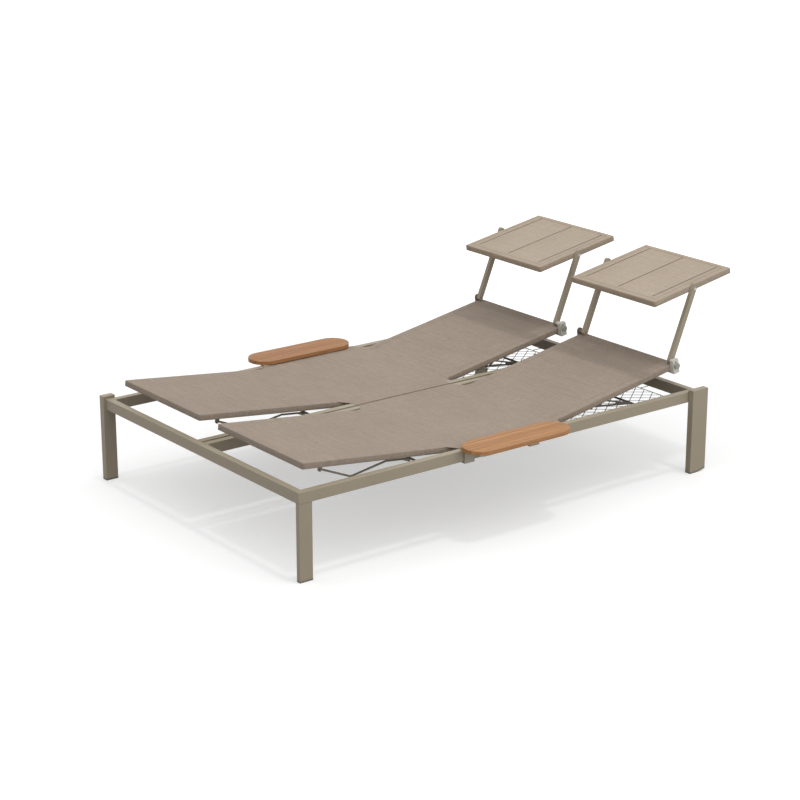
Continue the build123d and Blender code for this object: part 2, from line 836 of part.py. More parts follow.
def shade_frame_solid(bed):
    """The shade's welded frame: a ring and ribs along its depth, bored for the tilt bolts."""
    frame = shade_plane(bed)
    inset = fabric_thickness + shade_cover_clearance
    bar_height = shade_thickness - fabric_thickness - 2 * shade_cover_clearance
    ring_width = shade_width - 2 * inset
    ring_depth = shade_depth - 2 * inset
    center = (0, shade_depth / 2 - shade_front)
    corner = shade_corner - inset
    bar_middle = -fabric_thickness / 2
    rib_spacing = shade_width / 2 - shade_rib_inset
    with BuildPart() as shade_frame:
        with BuildSketch(frame.offset(bar_middle)):
            with Locations(center):
                Rectangle(ring_width, ring_depth)
            chamfer(vertices(), corner)
            with Locations(center):
                Rectangle(
                    ring_width - 2 * shade_tube_width,
                    ring_depth - 2 * shade_tube_width,
                    mode=Mode.SUBTRACT,
                )
                with GridLocations(rib_spacing, 0, shade_rib_count, 1):
                    Rectangle(shade_rib_width, ring_depth - shade_tube_width)
        extrude(amount=bar_height / 2, both=True)
        for side in (-1, 1):
            with BuildSketch(section_plane(frame, side * (ring_width / 2 - shade_bolt_depth))):
                Circle(shade_bolt_radius + shade_bolt_fit)
            extrude(amount=side * (shade_bolt_depth + cut_overrun), mode=Mode.SUBTRACT)
    return shade_frame


def shade_cover_solid(bed):
    """The shade's fabric cover, open underneath, with holes where the tilt bolts pass."""
    frame = shade_plane(bed)
    center = (0, shade_depth / 2 - shade_front)
    with BuildPart() as cover:
        with BuildSketch(frame.offset(-shade_thickness / 2)):
            with Locations(center):
                Rectangle(shade_width, shade_depth)
            chamfer(vertices(), shade_corner)
        extrude(amount=shade_thickness)
        with BuildSketch(frame.offset(-shade_thickness / 2)):
            with Locations(center):
                Rectangle(shade_width - 2 * fabric_thickness, shade_depth - 2 * fabric_thickness)
            chamfer(vertices(), shade_corner - fabric_thickness)
        extrude(amount=shade_thickness - fabric_thickness, mode=Mode.SUBTRACT)
        with BuildSketch(section_plane(frame, 0)):
            Circle(shade_bolt_radius + shade_bolt_hole_gap)
        extrude(amount=shade_width, both=True, mode=Mode.SUBTRACT)
    return cover


def arm_solid(bed, side):
    """One shade arm: a flat bar with round ends, bored for its pin and its tilt bolt."""
    arm_x = bed * shade_center + side * arm_center_offset
    low = Vector(middle_y + arm_pivot_y, arm_pivot_z)
    high = Vector(middle_y + shade_pivot_y, shade_pivot_z)
    tip = high + (high - low).normalized() * arm_tip
    with BuildPart() as arm:
        with BuildSketch(Plane.YZ.offset(arm_x)):
            with BuildLine():
                axis = Line((low.X, low.Y), (tip.X, tip.Y))
            arm_angle = degrees(asin((tip.Y - low.Y) / axis.length))
            with Locations((low + tip) / 2):
                SlotCenterToCenter(axis.length, arm_width, rotation=arm_angle)
        extrude(amount=arm_thickness / 2, both=True)
        with BuildSketch(Plane.YZ.offset(arm_x)):
            with Locations(low):
                Circle(arm_pin_radius + arm_pin_fit)
            with Locations(high):
                Circle(shade_bolt_radius + shade_bolt_fit)
        extrude(amount=arm_thickness, both=True, mode=Mode.SUBTRACT)
    return arm


def shade_bolts_solid(bed):
    """The two tilt bolts, through the arms into the shade's frame."""
    with BuildPart() as bolts:
        for side in (-1, 1):
            arm_face = bed * shade_center + side * (arm_center_offset + arm_thickness / 2)
            with BuildSketch(Plane.YZ.offset(arm_face)):
                with Locations((middle_y + shade_pivot_y, shade_pivot_z)):
                    Circle(shade_bolt_head_radius)
            extrude(amount=side * shade_bolt_head)
            with BuildSketch(Plane.YZ.offset(arm_face)):
                with Locations((middle_y + shade_pivot_y, shade_pivot_z)):
                    Circle(shade_bolt_radius)
            extrude(amount=-side * (arm_thickness + arm_side_gap + shade_bolt_depth / 2))
    return bolts


def clamp_boss(frame, bed, side):
    """The boss and pin that run in from a clamp to its arm."""
    panel_face = bed * bay_center + side * panel_width / 2
    arm_face = bed * shade_center + side * (arm_center_offset + arm_thickness / 2)
    boss_length = abs(panel_face - arm_face) - arm_face_gap
    with BuildPart() as boss:
        with BuildSketch(section_plane(frame, side * panel_width / 2)):
            with Locations((arm_pivot_distance, arm_pivot_height)):
                Circle(boss_radius)
        extrude(amount=-side * boss_length)
        with BuildSketch(section_plane(frame, side * panel_width / 2)):
            with Locations((arm_pivot_distance, arm_pivot_height)):
                Circle(arm_pin_radius)
        extrude(amount=-side * (boss_length + arm_face_gap + arm_thickness))
    return boss.part


def clamp_block_solid(bed):
    """The light clamp on the bed's +X side: cheek, lower jaw, boss and arm pin."""
    frame = panel_plane(bed, back_hinge_y, back_angle, 1)
    boss = clamp_boss(frame, bed, 1)
    with BuildPart() as clamp_block:
        with BuildSketch(section_plane(frame, panel_width / 2)):
            with Locations((arm_pivot_distance, -clamp_below)):
                Rectangle(
                    clamp_length,
                    clamp_below + arm_pivot_height + clamp_above,
                    align=(Align.CENTER, Align.MIN),
                )
            fillet(vertices(), clamp_edge_radius)
            with Locations((arm_pivot_distance, knob_height)):
                Circle(knob_screw_radius + knob_screw_fit, mode=Mode.SUBTRACT)
        extrude(amount=clamp_thickness)
        jaw_top = -panel_thickness / 2 - clamp_jaw_gap
        with BuildSketch(section_plane(frame, panel_width / 2)):
            with Locations((arm_pivot_distance, -clamp_below)):
                Rectangle(
                    clamp_length - 2 * clamp_edge_radius,
                    clamp_below + jaw_top,
                    align=(Align.CENTER, Align.MIN),
                )
        extrude(amount=-clamp_jaw_reach)
        add(boss)
    return clamp_block


def pivot_bracket_solid(bed):
    """The small dark bracket on the bed's -X side, with its boss and arm pin."""
    frame = panel_plane(bed, back_hinge_y, back_angle, 1)
    boss = clamp_boss(frame, bed, -1)
    with BuildPart() as bracket:
        with BuildSketch(section_plane(frame, -panel_width / 2)):
            with Locations((arm_pivot_distance, arm_pivot_height)):
                Rectangle(
                    bracket_length,
                    arm_pivot_height + bracket_below,
                    align=(Align.CENTER, Align.MAX),
                )
                Circle(bracket_length / 2)
        extrude(amount=-bracket_thickness)
        add(boss)
    return bracket


def clamp_knob_solid(bed):
    """The fluted hand knob of the clamp, with its collar and screw."""
    frame = panel_plane(bed, back_hinge_y, back_angle, 1)
    face = panel_width / 2 + clamp_thickness
    axis_point = (arm_pivot_distance, knob_height)
    with BuildPart() as knob:
        with BuildSketch(section_plane(frame, face - knob_screw_length)):
            with Locations(axis_point):
                Circle(knob_screw_radius)
        extrude(amount=knob_screw_length + knob_collar_length)
        with BuildSketch(section_plane(frame, face + knob_face_gap)):
            with Locations(axis_point):
                Circle(knob_collar_radius)
        extrude(amount=knob_collar_length)
        with BuildSketch(section_plane(frame, face + knob_face_gap + knob_collar_length)):
            with Locations(axis_point):
                Circle(knob_radius)
        extrude(amount=knob_thickness)
        chamfer(knob.faces().sort_by(Axis.X)[-1].edges(), knob_edge_chamfer)
        flute_circle = knob_radius + knob_flute_radius - knob_flute_bite
        with BuildSketch(section_plane(frame, face + knob_face_gap + knob_collar_length)):
            with Locations(axis_point):
                with PolarLocations(flute_circle, knob_flutes):
                    Circle(knob_flute_radius)
        extrude(amount=knob_thickness, mode=Mode.SUBTRACT)
    return knob


for bed_name, bed in beds.items():
    save(shade_frame_solid(bed), f"{bed_name}_shade_frame")
    save(shade_cover_solid(bed), f"{bed_name}_shade_cover")
    save(arm_solid(bed, bed), f"{bed_name}_outer_arm")
    save(arm_solid(bed, -bed), f"{bed_name}_inner_arm")
    save(shade_bolts_solid(bed), f"{bed_name}_shade_bolts")
    save(clamp_block_solid(bed), f"{bed_name}_clamp_block")
    save(pivot_bracket_solid(bed), f"{bed_name}_pivot_bracket")
    save(clamp_knob_solid(bed), f"{bed_name}_clamp_knob")

# Teak tables, hooked over the side rails

fabric_top = rail_top + fabric_thickness
hook_top = fabric_top + hook_seat_gap + hook_plate
table_inner = half_width - table_overlap
table_center_x = table_inner + table_width / 2
hook_face = half_width + fabric_thickness + hook_flange_gap
hook_bottom = rail_bottom - hook_drop
hook_places = (
    middle_y - hook_foot_distance,
    middle_y + hook_head_distance,
)


def table_slats_solid(bed):
    """Teak slats along the table, cut to one outline with round ends."""
    slat_pitch = table_width / table_slats
    with BuildPart() as slats:
        with BuildSketch(Plane.XY.offset(hook_top)):
            with Locations((bed * table_center_x, middle_y - table_center_distance)):
                SlotOverall(table_length, table_width, rotation=90)
                with GridLocations(slat_pitch, 0, table_slats - 1, 1):
                    Rectangle(table_slat_gap, table_length, mode=Mode.SUBTRACT)
        extrude(amount=table_thickness)
        chamfer(slats.faces().group_by(Axis.Z)[-1].edges(), table_edge_chamfer)
    return slats


def table_hooks_solid(bed):
    """Two bent plates: under the slats, down the rail's outer face and back under it."""
    arm_start = table_inner + hook_inset
    arm_end = table_inner + table_width - hook_inset
    outline = [
        (bed * arm_start, hook_top),
        (bed * arm_end, hook_top),
        (bed * arm_end, hook_top - hook_plate),
        (bed * (hook_face + hook_plate), hook_top - hook_plate),
        (bed * (hook_face + hook_plate), hook_bottom - hook_plate),
        (bed * (hook_face + hook_plate - hook_return), hook_bottom - hook_plate),
        (bed * (hook_face + hook_plate - hook_return), hook_bottom),
        (bed * hook_face, hook_bottom),
        (bed * hook_face, hook_top - hook_plate),
        (bed * arm_start, hook_top - hook_plate),
    ]
    with BuildPart() as hooks:
        for place in hook_places:
            with BuildSketch(Plane.XZ.offset(-place)):
                Polygon(*outline, align=None)
            extrude(amount=hook_width / 2, both=True)
    return hooks


for bed_name, bed in beds.items():
    save(table_slats_solid(bed), f"{bed_name}_table_slats")
    save(table_hooks_solid(bed), f"{bed_name}_table_hooks")
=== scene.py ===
"""Looks of the double chaise lounger: fabric slings, sunshades, nets, teak, paint, floor and light.

Metres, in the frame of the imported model: X across, Y from foot to head, Z up from the floor.
"""

import json
from math import cos, pi, radians, sin

import bpy
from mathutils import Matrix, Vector

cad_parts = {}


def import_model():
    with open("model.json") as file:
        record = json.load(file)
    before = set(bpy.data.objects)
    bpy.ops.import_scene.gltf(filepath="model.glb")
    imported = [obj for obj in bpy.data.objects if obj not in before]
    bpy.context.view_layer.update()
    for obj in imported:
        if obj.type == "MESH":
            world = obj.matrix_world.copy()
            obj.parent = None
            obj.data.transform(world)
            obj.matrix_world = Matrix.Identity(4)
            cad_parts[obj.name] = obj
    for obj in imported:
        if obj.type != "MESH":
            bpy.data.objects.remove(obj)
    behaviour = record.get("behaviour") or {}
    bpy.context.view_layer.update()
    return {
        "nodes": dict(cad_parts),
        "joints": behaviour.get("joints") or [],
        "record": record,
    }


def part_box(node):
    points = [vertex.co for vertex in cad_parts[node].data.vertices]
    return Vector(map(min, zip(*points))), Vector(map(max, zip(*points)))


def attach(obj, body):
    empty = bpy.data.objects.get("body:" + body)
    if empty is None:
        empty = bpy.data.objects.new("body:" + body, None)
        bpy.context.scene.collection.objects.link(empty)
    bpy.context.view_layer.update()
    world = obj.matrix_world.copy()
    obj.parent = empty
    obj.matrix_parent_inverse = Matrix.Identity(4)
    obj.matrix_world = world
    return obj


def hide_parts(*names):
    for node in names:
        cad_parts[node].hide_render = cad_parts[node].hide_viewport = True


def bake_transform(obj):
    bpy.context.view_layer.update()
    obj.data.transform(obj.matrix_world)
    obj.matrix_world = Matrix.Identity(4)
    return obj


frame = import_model()

MM = 0.001
BEDS = {"right": 1, "left": -1}
HINGES = {"foot": "foot_tilt", "back": "recline"}
NODES = frame["nodes"]
JOINTS = {joint["name"]: joint for joint in frame["joints"]}

# Camera, fitted to the photograph
CAMERA_PLACE = Vector((6.562, -5.1562, 3.020))
CAMERA_TARGET = Vector((0.156, -0.2557, 0.3935))
FOCAL_PIXELS = 2125.69
FRAME_PIXELS = 800
SENSOR_WIDTH = 36.0
SIGHT_END = 100.0

# Sections and seat
PANEL_THICKNESS = 24.4 * MM
FABRIC = 1.2 * MM
FOOT_ANGLE = radians(6.7)
BACK_ANGLE = radians(10.07)
FOOT_LENGTH = 699 * MM
BACK_LENGTH = 651 * MM
TUBE_WIDTH = 29.4 * MM
END_TUBE_WIDTH = 32 * MM
EDGE_ROLL = 3 * MM
UNDER_ROLL = 2.5 * MM
HEM_LIP = 16 * MM
CREASE = 26 * MM
TENSION_SAG = 1.3 * MM
TENSION_FADE = 16 * MM
SEAT_FOOT_HEM = 13 * MM
SEAT_HEAD_HEM = 42 * MM
EAR_REACH = 52 * MM
EAR_BULGE = 14 * MM
WRAP_DROP = 22 * MM

# Distance of a seat sling's inner edge from the middle of the lounger
CENTER_RIM = 5.3 * MM

# The seat side of each hinge holds the cloth up to this far from it
HINGE_HOLD = 12 * MM

# Cross tubes that hold each section's cloth up, along the section from its hinge
FOOT_TUBES = ((566.7 * MM, 596.7 * MM), (FOOT_LENGTH - END_TUBE_WIDTH, FOOT_LENGTH))
BACK_TUBES = (
    (190 * MM, 220 * MM), (475 * MM, 525 * MM), (BACK_LENGTH - END_TUBE_WIDTH, BACK_LENGTH)
)

# Meshes of cloth
CELL = 12 * MM
FINE_CELL = CELL / 2
FINE_COLUMNS = 6
ROLL_STEPS = 4
HEM_STEPS = 3
WRAP_STEPS = 3
WING_STEPS = 8
WING_EASE = 1.5

# Yarn of the cloths, and how much of them is open
YARN_PITCH = 2.6 * MM
SLING_OPEN_SHARE = 0.05
SHADE_OPEN_SHARE = 0.09

# Dark places of the cloth, as shares of the deep tone: painted shade on the turned-down edges, at
# the head strip and on the brace band, and darker sewn lines
END_PAINTED_SHADE = 0.08
SIDE_PAINTED_SHADE = 0.03
# Painted shade where the back's end tube and its brace lie under the cloth
HEAD_STRIP = 60 * MM
HEAD_STRIP_PAINTED_SHADE = 0.12
BRACE_BAND = (465 * MM, 507 * MM)
BRACE_PAINTED_SHADE = 0.26
SIDE_SEAM = 33 * MM
SIDE_SEAM_DEPTH = 0.18
SEAM_DARK = 1.0
BORDER_SHARE = 0.3

# Light: a sky that is brightest along its axis, a key lamp overhead and one at the side
SKY_LOW = 0.08
SKY_HIGH = 1.16
SKY_AXIS = Vector((0.12, -0.1, 0.988))
KEY_STRENGTH = 0.45
KEY_PLACE = (0.6, 0.45, 5.0)
KEY_TARGET = (0.0, 0.0, 0.0)
KEY_ANGLE = radians(6)
SIDE_POWER = 31.0
SIDE_PLACE = (4.4, 0.6, 1.5)
SIDE_TARGET = (0.3, 0.0, 0.3)
SIDE_SIZE = 2.4

# Floor: its tone to the camera and to other rays, its glow, and where that fades to white
FLOOR_HALF = 30.0
FLOOR_SEEN = 0.6
FLOOR_BOUNCE = 0.28
FLOOR_GLOW = 0.48
FLOOR_FADE = (1.6, 5.0)

# Sunshades
SHADE_TILT = radians(10.1)
SHADE_WIDTH = 502.5 * MM
SHADE_DEPTH = 436 * MM
SHADE_FRONT = 210.5 * MM
SHADE_THICKNESS = 26 * MM
SHADE_ROLL = 4.5 * MM
SHADE_CORNER_SHARE = 0.86
SHADE_SEAMS = (-200 * MM, 0.0, 200 * MM)
SHADE_SEAM_START = 38 * MM
SHADE_SEAM_END = 26 * MM
SHADE_BORDER = 23 * MM
SHADE_SAG = 1.2 * MM
SEAM_WIDTH = 4.0 * MM
SEAM_DEPTH = 1.1 * MM
SEAM_SHARES = (-1.0, -0.6, -0.3, 0.3, 0.6, 1.0)
SEAM_CORE_SHARE = 0.45
SEAM_FADE_SHARE = 0.3

# Stitches
STITCH_PITCH = 5.5 * MM
STITCH_LENGTH = 3.8 * MM
STITCH_WIDTH = 0.9 * MM
STITCH_SIDES = 6
STITCH_BODY_SHARE = 0.55
STITCH_RISE_SHARE = 0.7
STITCH_SINK_SHARE = 0.75

# Tables
TABLE_SLATS = 6

# Storage nets
NET_COLUMNS = 12
NET_ROWS = 10
NET_WIDTH = 591 * MM
NET_LENGTH = 626 * MM
NET_CORD = 1.5 * MM
NET_THREAD = 0.9 * MM
NET_BORDER = 2.4 * MM
NET_BORDER_CORD = 1.44 * MM
NET_BORDER_SPANS = 18
NET_BORDER_SIDES = 8
NET_CORD_SIDES = 6
NET_SAG = 1.0 * MM
KNOT_REACH = 1.8 * MM
LASHINGS = 5
LASHING_RISE = 0.5 * MM

# Screws in the clamp blocks
SCREW_RADIUS = 2.6 * MM
SCREW_HEIGHT = 1.4 * MM
SCREW_SIDES = 24
SCREW_RING_SHARES = (
    (1.0, 0.0), (1.0, 0.55), (0.93, 0.85), (0.8, 1.0), (0.52, 1.0), (0.48, 0.9), (0.46, 0.25)
)


def srgb(red, green, blue):
    """A display colour of 0 to 255 as the linear colour that shaders take."""
    shares = [value / 255 for value in (red, green, blue)]
    return [s / 12.92 if s <= 0.04045 else ((s + 0.055) / 1.055) ** 2.4 for s in shares] + [1.0]


# Materials


class Shader:
    """A new material with short calls that add and join its nodes."""

    def __init__(self, name, roughness=0.5, metallic=0.0):
        self.material = bpy.data.materials.new(name)
        self.material.use_nodes = True
        self.tree = self.material.node_tree
        self.surface = self.tree.nodes["Principled BSDF"]
        self.surface.inputs["Roughness"].default_value = roughness
        self.surface.inputs["Metallic"].default_value = metallic
        self.output = self.tree.nodes["Material Output"]

    def feed(self, socket, value):
        """Joins an input to another node's output, or sets its value."""
        if isinstance(value, bpy.types.NodeSocket):
            self.tree.links.new(value, socket)
        else:
            socket.default_value = value

    def feed_named(self, node, inputs):
        for name, value in inputs.items():
            self.feed(node.inputs[name.replace("_", " ")], value)

    def node(self, kind, settings=None, **inputs):
        """Adds a node; settings are its own properties, inputs are values or other sockets."""
        made = self.tree.nodes.new(kind)
        for key, value in (settings or {}).items():
            setattr(made, key, value)
        self.feed_named(made, inputs)
        return made

    def place(self, source="Object"):
        return self.node("ShaderNodeTexCoord").outputs[source]

    def stretched(self, vector, scale):
        return self.node("ShaderNodeMapping", Vector=vector, Scale=scale).outputs[0]

    def noise(self, vector, scale, detail=4.0, roughness=0.55):
        settings = {"Vector": vector, "Scale": scale, "Detail": detail, "Roughness": roughness}
        return self.node("ShaderNodeTexNoise", **settings).outputs["Fac"]

    def math(self, operation, first, second=0.5):
        made = self.node("ShaderNodeMath", {"operation": operation})
        for socket, value in zip(made.inputs, (first, second)):
            self.feed(socket, value)
        return made.outputs[0]

    def spread(self, value, low, high, to_low=0.0, to_high=1.0):
        """The value's place between low and high, carried over to the other two numbers."""
        made = self.node("ShaderNodeMapRange", Value=value)
        for socket, number in zip(made.inputs[1:5], (low, high, to_low, to_high)):
            self.feed(socket, number)
        return made.outputs[0]

    def mix(self, share, first, second):
        """Two colours blended: inputs 6 and 7 and output 2 are the node's sockets for colours."""
        made = self.node("ShaderNodeMix", {"data_type": "RGBA"})
        for index, value in ((0, share), (6, first), (7, second)):
            self.feed(made.inputs[index], value)
        return made.outputs[2]

    def bump(self, height, distance, strength):
        made = self.node("ShaderNodeBump", Height=height, Distance=distance, Strength=strength)
        return made.outputs[0]

    def edge(self, radius):
        """1 along the piece's edges, 0 on its faces."""
        bevel = self.node("ShaderNodeBevel", {"samples": 4}, Radius=radius).outputs[0]
        flat = self.node("ShaderNodeNewGeometry").outputs["Normal"]
        dot = self.node("ShaderNodeVectorMath", {"operation": "DOT_PRODUCT"})
        self.feed(dot.inputs[0], bevel)
        self.feed(dot.inputs[1], flat)
        return self.spread(dot.outputs["Value"], 0.99, 0.85)

    def set(self, **inputs):
        self.feed_named(self.surface, inputs)


def painted_metal(name, base, lighter, roughness, wear=0.5):
    """Powder-coated metal: a fine orange peel, faint clouds of colour, worn edges."""
    shader = Shader(name, roughness)
    where = shader.place()
    clouds = shader.spread(shader.noise(where, 5.0, 5.0), 0.3, 0.7)
    grain = shader.noise(where, 900.0, 2.0)
    peel = shader.noise(where, 260.0, 3.0)
    tone = shader.mix(shader.math("MULTIPLY", clouds, 0.22), base, lighter)
    tone = shader.mix(shader.spread(grain, 0.35, 0.75, 0.0, 0.16), tone, lighter)
    rubbed = shader.math("MULTIPLY", shader.edge(1.6 * MM), shader.spread(peel, 0.35, 0.6))
    tone = shader.mix(shader.math("MULTIPLY", rubbed, wear), tone, lighter)
    height = shader.math("ADD", shader.math("MULTIPLY", peel, 0.7), grain)
    rough = shader.spread(clouds, 0.0, 1.0, roughness - 0.05, roughness + 0.07)
    shader.set(Base_Color=tone, Roughness=rough, Normal=shader.bump(height, 0.12 * MM, 0.35))
    return shader.material


def bare_metal(name, base, dark, roughness, metallic):
    """Satin cast or drawn metal with fine streaks and smudges."""
    shader = Shader(name, roughness, metallic)
    where = shader.place()
    smudge = shader.spread(shader.noise(where, 60.0, 5.0), 0.35, 0.7)
    grain = shader.noise(shader.stretched(where, (700.0, 2600.0, 2600.0)), 1.0, 2.0)
    tone = shader.mix(shader.math("MULTIPLY", smudge, 0.45), base, dark)
    tone = shader.mix(shader.math("MULTIPLY", shader.edge(0.8 * MM), 0.5), tone, base)
    rough = shader.spread(smudge, 0.0, 1.0, roughness, roughness + 0.16)
    shader.set(Base_Color=tone, Roughness=rough, Normal=shader.bump(grain, 0.06 * MM, 0.4))
    return shader.material


def moulded_plastic(name, base, lighter, roughness):
    """Moulded plastic with a fine spark-eroded grain."""
    shader = Shader(name, roughness)
    where = shader.place()
    grain = shader.noise(where, 1400.0, 2.0)
    clouds = shader.spread(shader.noise(where, 40.0, 4.0), 0.3, 0.7)
    tone = shader.mix(shader.math("MULTIPLY", clouds, 0.35), base, lighter)
    tone = shader.mix(shader.math("MULTIPLY", shader.edge(0.8 * MM), 0.35), tone, lighter)
    rough = shader.spread(grain, 0.3, 0.7, roughness - 0.08, roughness + 0.08)
    shader.set(Base_Color=tone, Roughness=rough, Normal=shader.bump(grain, 0.08 * MM, 0.4))
    return shader.material


def woven_sling(name, base, darker, lighter, deep, pitch, open_share):
    """Coated yarn mesh: a plain weave, uneven yarns both ways, tiny gaps between them."""
    shader = Shader(name, 0.72)
    where = shader.place("UV")
    split = shader.node("ShaderNodeSeparateXYZ", Vector=where)
    turns = 2 * pi / pitch
    warp = shader.math("SINE", shader.math("MULTIPLY", split.outputs[0], turns))
    weft = shader.math("SINE", shader.math("MULTIPLY", split.outputs[1], turns))
    crossing = shader.math("MULTIPLY", warp, weft)
    slub_across = shader.noise(shader.stretched(where, (9.0, 420.0, 1.0)), 1.0, 3.0)
    slub_along = shader.noise(shader.stretched(where, (420.0, 9.0, 1.0)), 1.0, 3.0)
    streaks = shader.noise(shader.stretched(where, (4.0, 60.0, 1.0)), 1.0, 4.0)
    clouds = shader.noise(where, 3.0, 4.0)
    mottle = shader.noise(where, 70.0, 3.0)
    tone = shader.mix(shader.spread(slub_across, 0.38, 0.66, 0.0, 0.62), base, darker)
    tone = shader.mix(shader.spread(slub_along, 0.42, 0.7, 0.0, 0.5), tone, lighter)
    tone = shader.mix(shader.spread(streaks, 0.4, 0.7, 0.0, 0.3), tone, darker)
    tone = shader.mix(shader.spread(clouds, 0.35, 0.7, 0.0, 0.22), tone, lighter)
    tone = shader.mix(shader.spread(mottle, 0.4, 0.7, 0.0, 0.3), tone, darker)
    tone = shader.mix(shader.spread(crossing, -1.0, -0.2, 0.4, 0.0), tone, darker)
    # The depth attribute darkens toward the deep tone: painted shade on edges and over tubes, and
    # sewn lines
    depth = shader.node("ShaderNodeAttribute", {"attribute_name": "depth"}).outputs["Fac"]
    tone = shader.mix(depth, tone, deep)
    height = shader.math("ADD", crossing, shader.math("MULTIPLY", slub_across, 1.5))
    shader.set(Base_Color=tone, Normal=shader.bump(height, 0.25 * MM, 0.6))
    shader.set(Sheen_Weight=0.05, Sheen_Roughness=0.45, Specular_IOR_Level=0.2)
    gaps = shader.spread(crossing, -1.0, 0.6, min(1.0, open_share * 3.0), 0.0)
    clear = shader.node("ShaderNodeBsdfTransparent").outputs[0]
    cover = shader.node("ShaderNodeMixShader")
    for socket, value in zip(cover.inputs, (gaps, shader.surface.outputs[0], clear)):
        shader.feed(socket, value)
    shader.feed(shader.output.inputs["Surface"], cover.outputs[0])
    return shader.material


def teak(name, base, darker, lighter, across, slats, start):
    """Oiled teak: long grain, pores, a tone for each slat and a darker table on the left."""
    shader = Shader(name, 0.5)
    where = shader.place()
    split = shader.node("ShaderNodeSeparateXYZ", Vector=where)
    step = shader.math("SUBTRACT", shader.math("ABSOLUTE", split.outputs[0], 0.0), start)
    slat = shader.math("FLOOR", shader.math("MULTIPLY", step, slats / across))
    own = shader.node("ShaderNodeTexWhiteNoise", {"noise_dimensions": "1D"}, W=slat)
    shift = shader.node("ShaderNodeCombineXYZ", X=slat, Y=own.outputs["Value"], Z=slat)
    moved = shader.node("ShaderNodeVectorMath", {"operation": "ADD"})
    shader.feed(moved.inputs[0], where)
    shader.feed(moved.inputs[1], shift.outputs[0])
    grain = shader.noise(shader.stretched(moved.outputs[0], (420.0, 6.0, 200.0)), 1.0, 6.0, 0.62)
    bands = shader.noise(shader.stretched(moved.outputs[0], (150.0, 1.8, 90.0)), 1.0, 4.0)
    pores = shader.noise(shader.stretched(moved.outputs[0], (1500.0, 60.0, 1500.0)), 1.0, 2.0)
    tone = shader.mix(shader.spread(bands, 0.32, 0.68), base, lighter)
    tone = shader.mix(shader.spread(grain, 0.5, 0.72, 0.0, 0.85), tone, darker)
    tone = shader.mix(shader.spread(pores, 0.55, 0.75, 0.0, 0.5), tone, darker)
    tone = shader.mix(shader.spread(own.outputs["Value"], 0.0, 1.0, 0.0, 0.32), tone, darker)
    left = shader.spread(split.outputs[0], -0.1, 0.1, 0.3, 0.0)
    tone = shader.mix(left, tone, darker)
    height = shader.math("ADD", grain, pores)
    rough = shader.spread(grain, 0.3, 0.7, 0.42, 0.6)
    shader.set(Base_Color=tone, Roughness=rough, Normal=shader.bump(height, 0.3 * MM, 0.5))
    return shader.material


def twisted_cord(name, base, darker):
    """Braided cord: slanted strands and a dull fibre surface."""
    shader = Shader(name, 0.8)
    where = shader.place()
    split = shader.node("ShaderNodeSeparateXYZ", Vector=where)
    lay = shader.math("ADD", split.outputs[0], shader.math("MULTIPLY", split.outputs[1], 1.7))
    strands = shader.math("SINE", shader.math("MULTIPLY", lay, 2200.0))
    fibre = shader.noise(where, 1500.0, 2.0)
    tone = shader.mix(shader.spread(strands, -1.0, 0.4, 0.7, 0.0), base, darker)
    tone = shader.mix(shader.spread(fibre, 0.4, 0.7, 0.0, 0.4), tone, darker)
    shader.set(Base_Color=tone, Normal=shader.bump(strands, 0.2 * MM, 0.6))
    return shader.material


TABLE_LOW, TABLE_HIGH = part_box("right_table_slats")
MATERIALS = {
    "frame_paint": painted_metal(
        "frame_paint", srgb(164, 152, 131), srgb(190, 179, 158), 0.46
    ),
    "dark_metal": painted_metal("dark_metal", srgb(120, 112, 99), srgb(142, 134, 121), 0.5, 0.1),
    "clamp_metal": bare_metal("clamp_metal", srgb(222, 220, 210), srgb(192, 191, 183), 0.5, 0.2),
    "steel": bare_metal("steel", srgb(206, 206, 200), srgb(150, 150, 144), 0.35, 0.6),
    "sling": woven_sling(
        "sling", srgb(175, 159, 144), srgb(147, 132, 118), srgb(197, 182, 166),
        srgb(98, 93, 86), YARN_PITCH, SLING_OPEN_SHARE,
    ),
    "shade_fabric": woven_sling(
        "shade_fabric", srgb(199, 182, 162), srgb(174, 157, 138), srgb(218, 202, 182),
        srgb(86, 76, 64), YARN_PITCH, SHADE_OPEN_SHARE,
    ),
    "teak": teak(
        "teak", srgb(182, 127, 76), srgb(136, 87, 50), srgb(202, 151, 98),
        TABLE_HIGH.x - TABLE_LOW.x, TABLE_SLATS, TABLE_LOW.x,
    ),
    "glide_plastic": moulded_plastic(
        "glide_plastic", srgb(132, 125, 110), srgb(150, 143, 128), 0.55
    ),
    "knob_plastic": moulded_plastic("knob_plastic", srgb(164, 161, 150), srgb(184, 181, 170), 0.5),
    "net_cord": twisted_cord("net_cord", srgb(84, 84, 90), srgb(50, 50, 56)),
}
NET_THREAD_FINISH = twisted_cord("net_thread", srgb(124, 124, 134), srgb(90, 90, 100))
HOOK_PAINT = painted_metal("hook_paint", srgb(178, 169, 151), srgb(200, 192, 176), 0.42)
THREAD = twisted_cord("thread", srgb(132, 119, 103), srgb(100, 89, 76))
# A lighter copy of the dark metal for the foot props: painted light against the shade under the
# foot sections
PROP_PAINT_WITH_PAINTED_LIGHT = painted_metal("prop_paint_painted_light", srgb(152, 144, 130), srgb(170, 162, 148), 0.5, 0.1)
SPECIAL_FINISH_AND_PAINTED_LIGHT = {
    "right_table_hooks": HOOK_PAINT,
    "left_table_hooks": HOOK_PAINT,
    "right_foot_prop": PROP_PAINT_WITH_PAINTED_LIGHT,
    "left_foot_prop": PROP_PAINT_WITH_PAINTED_LIGHT,
}

# Meshes


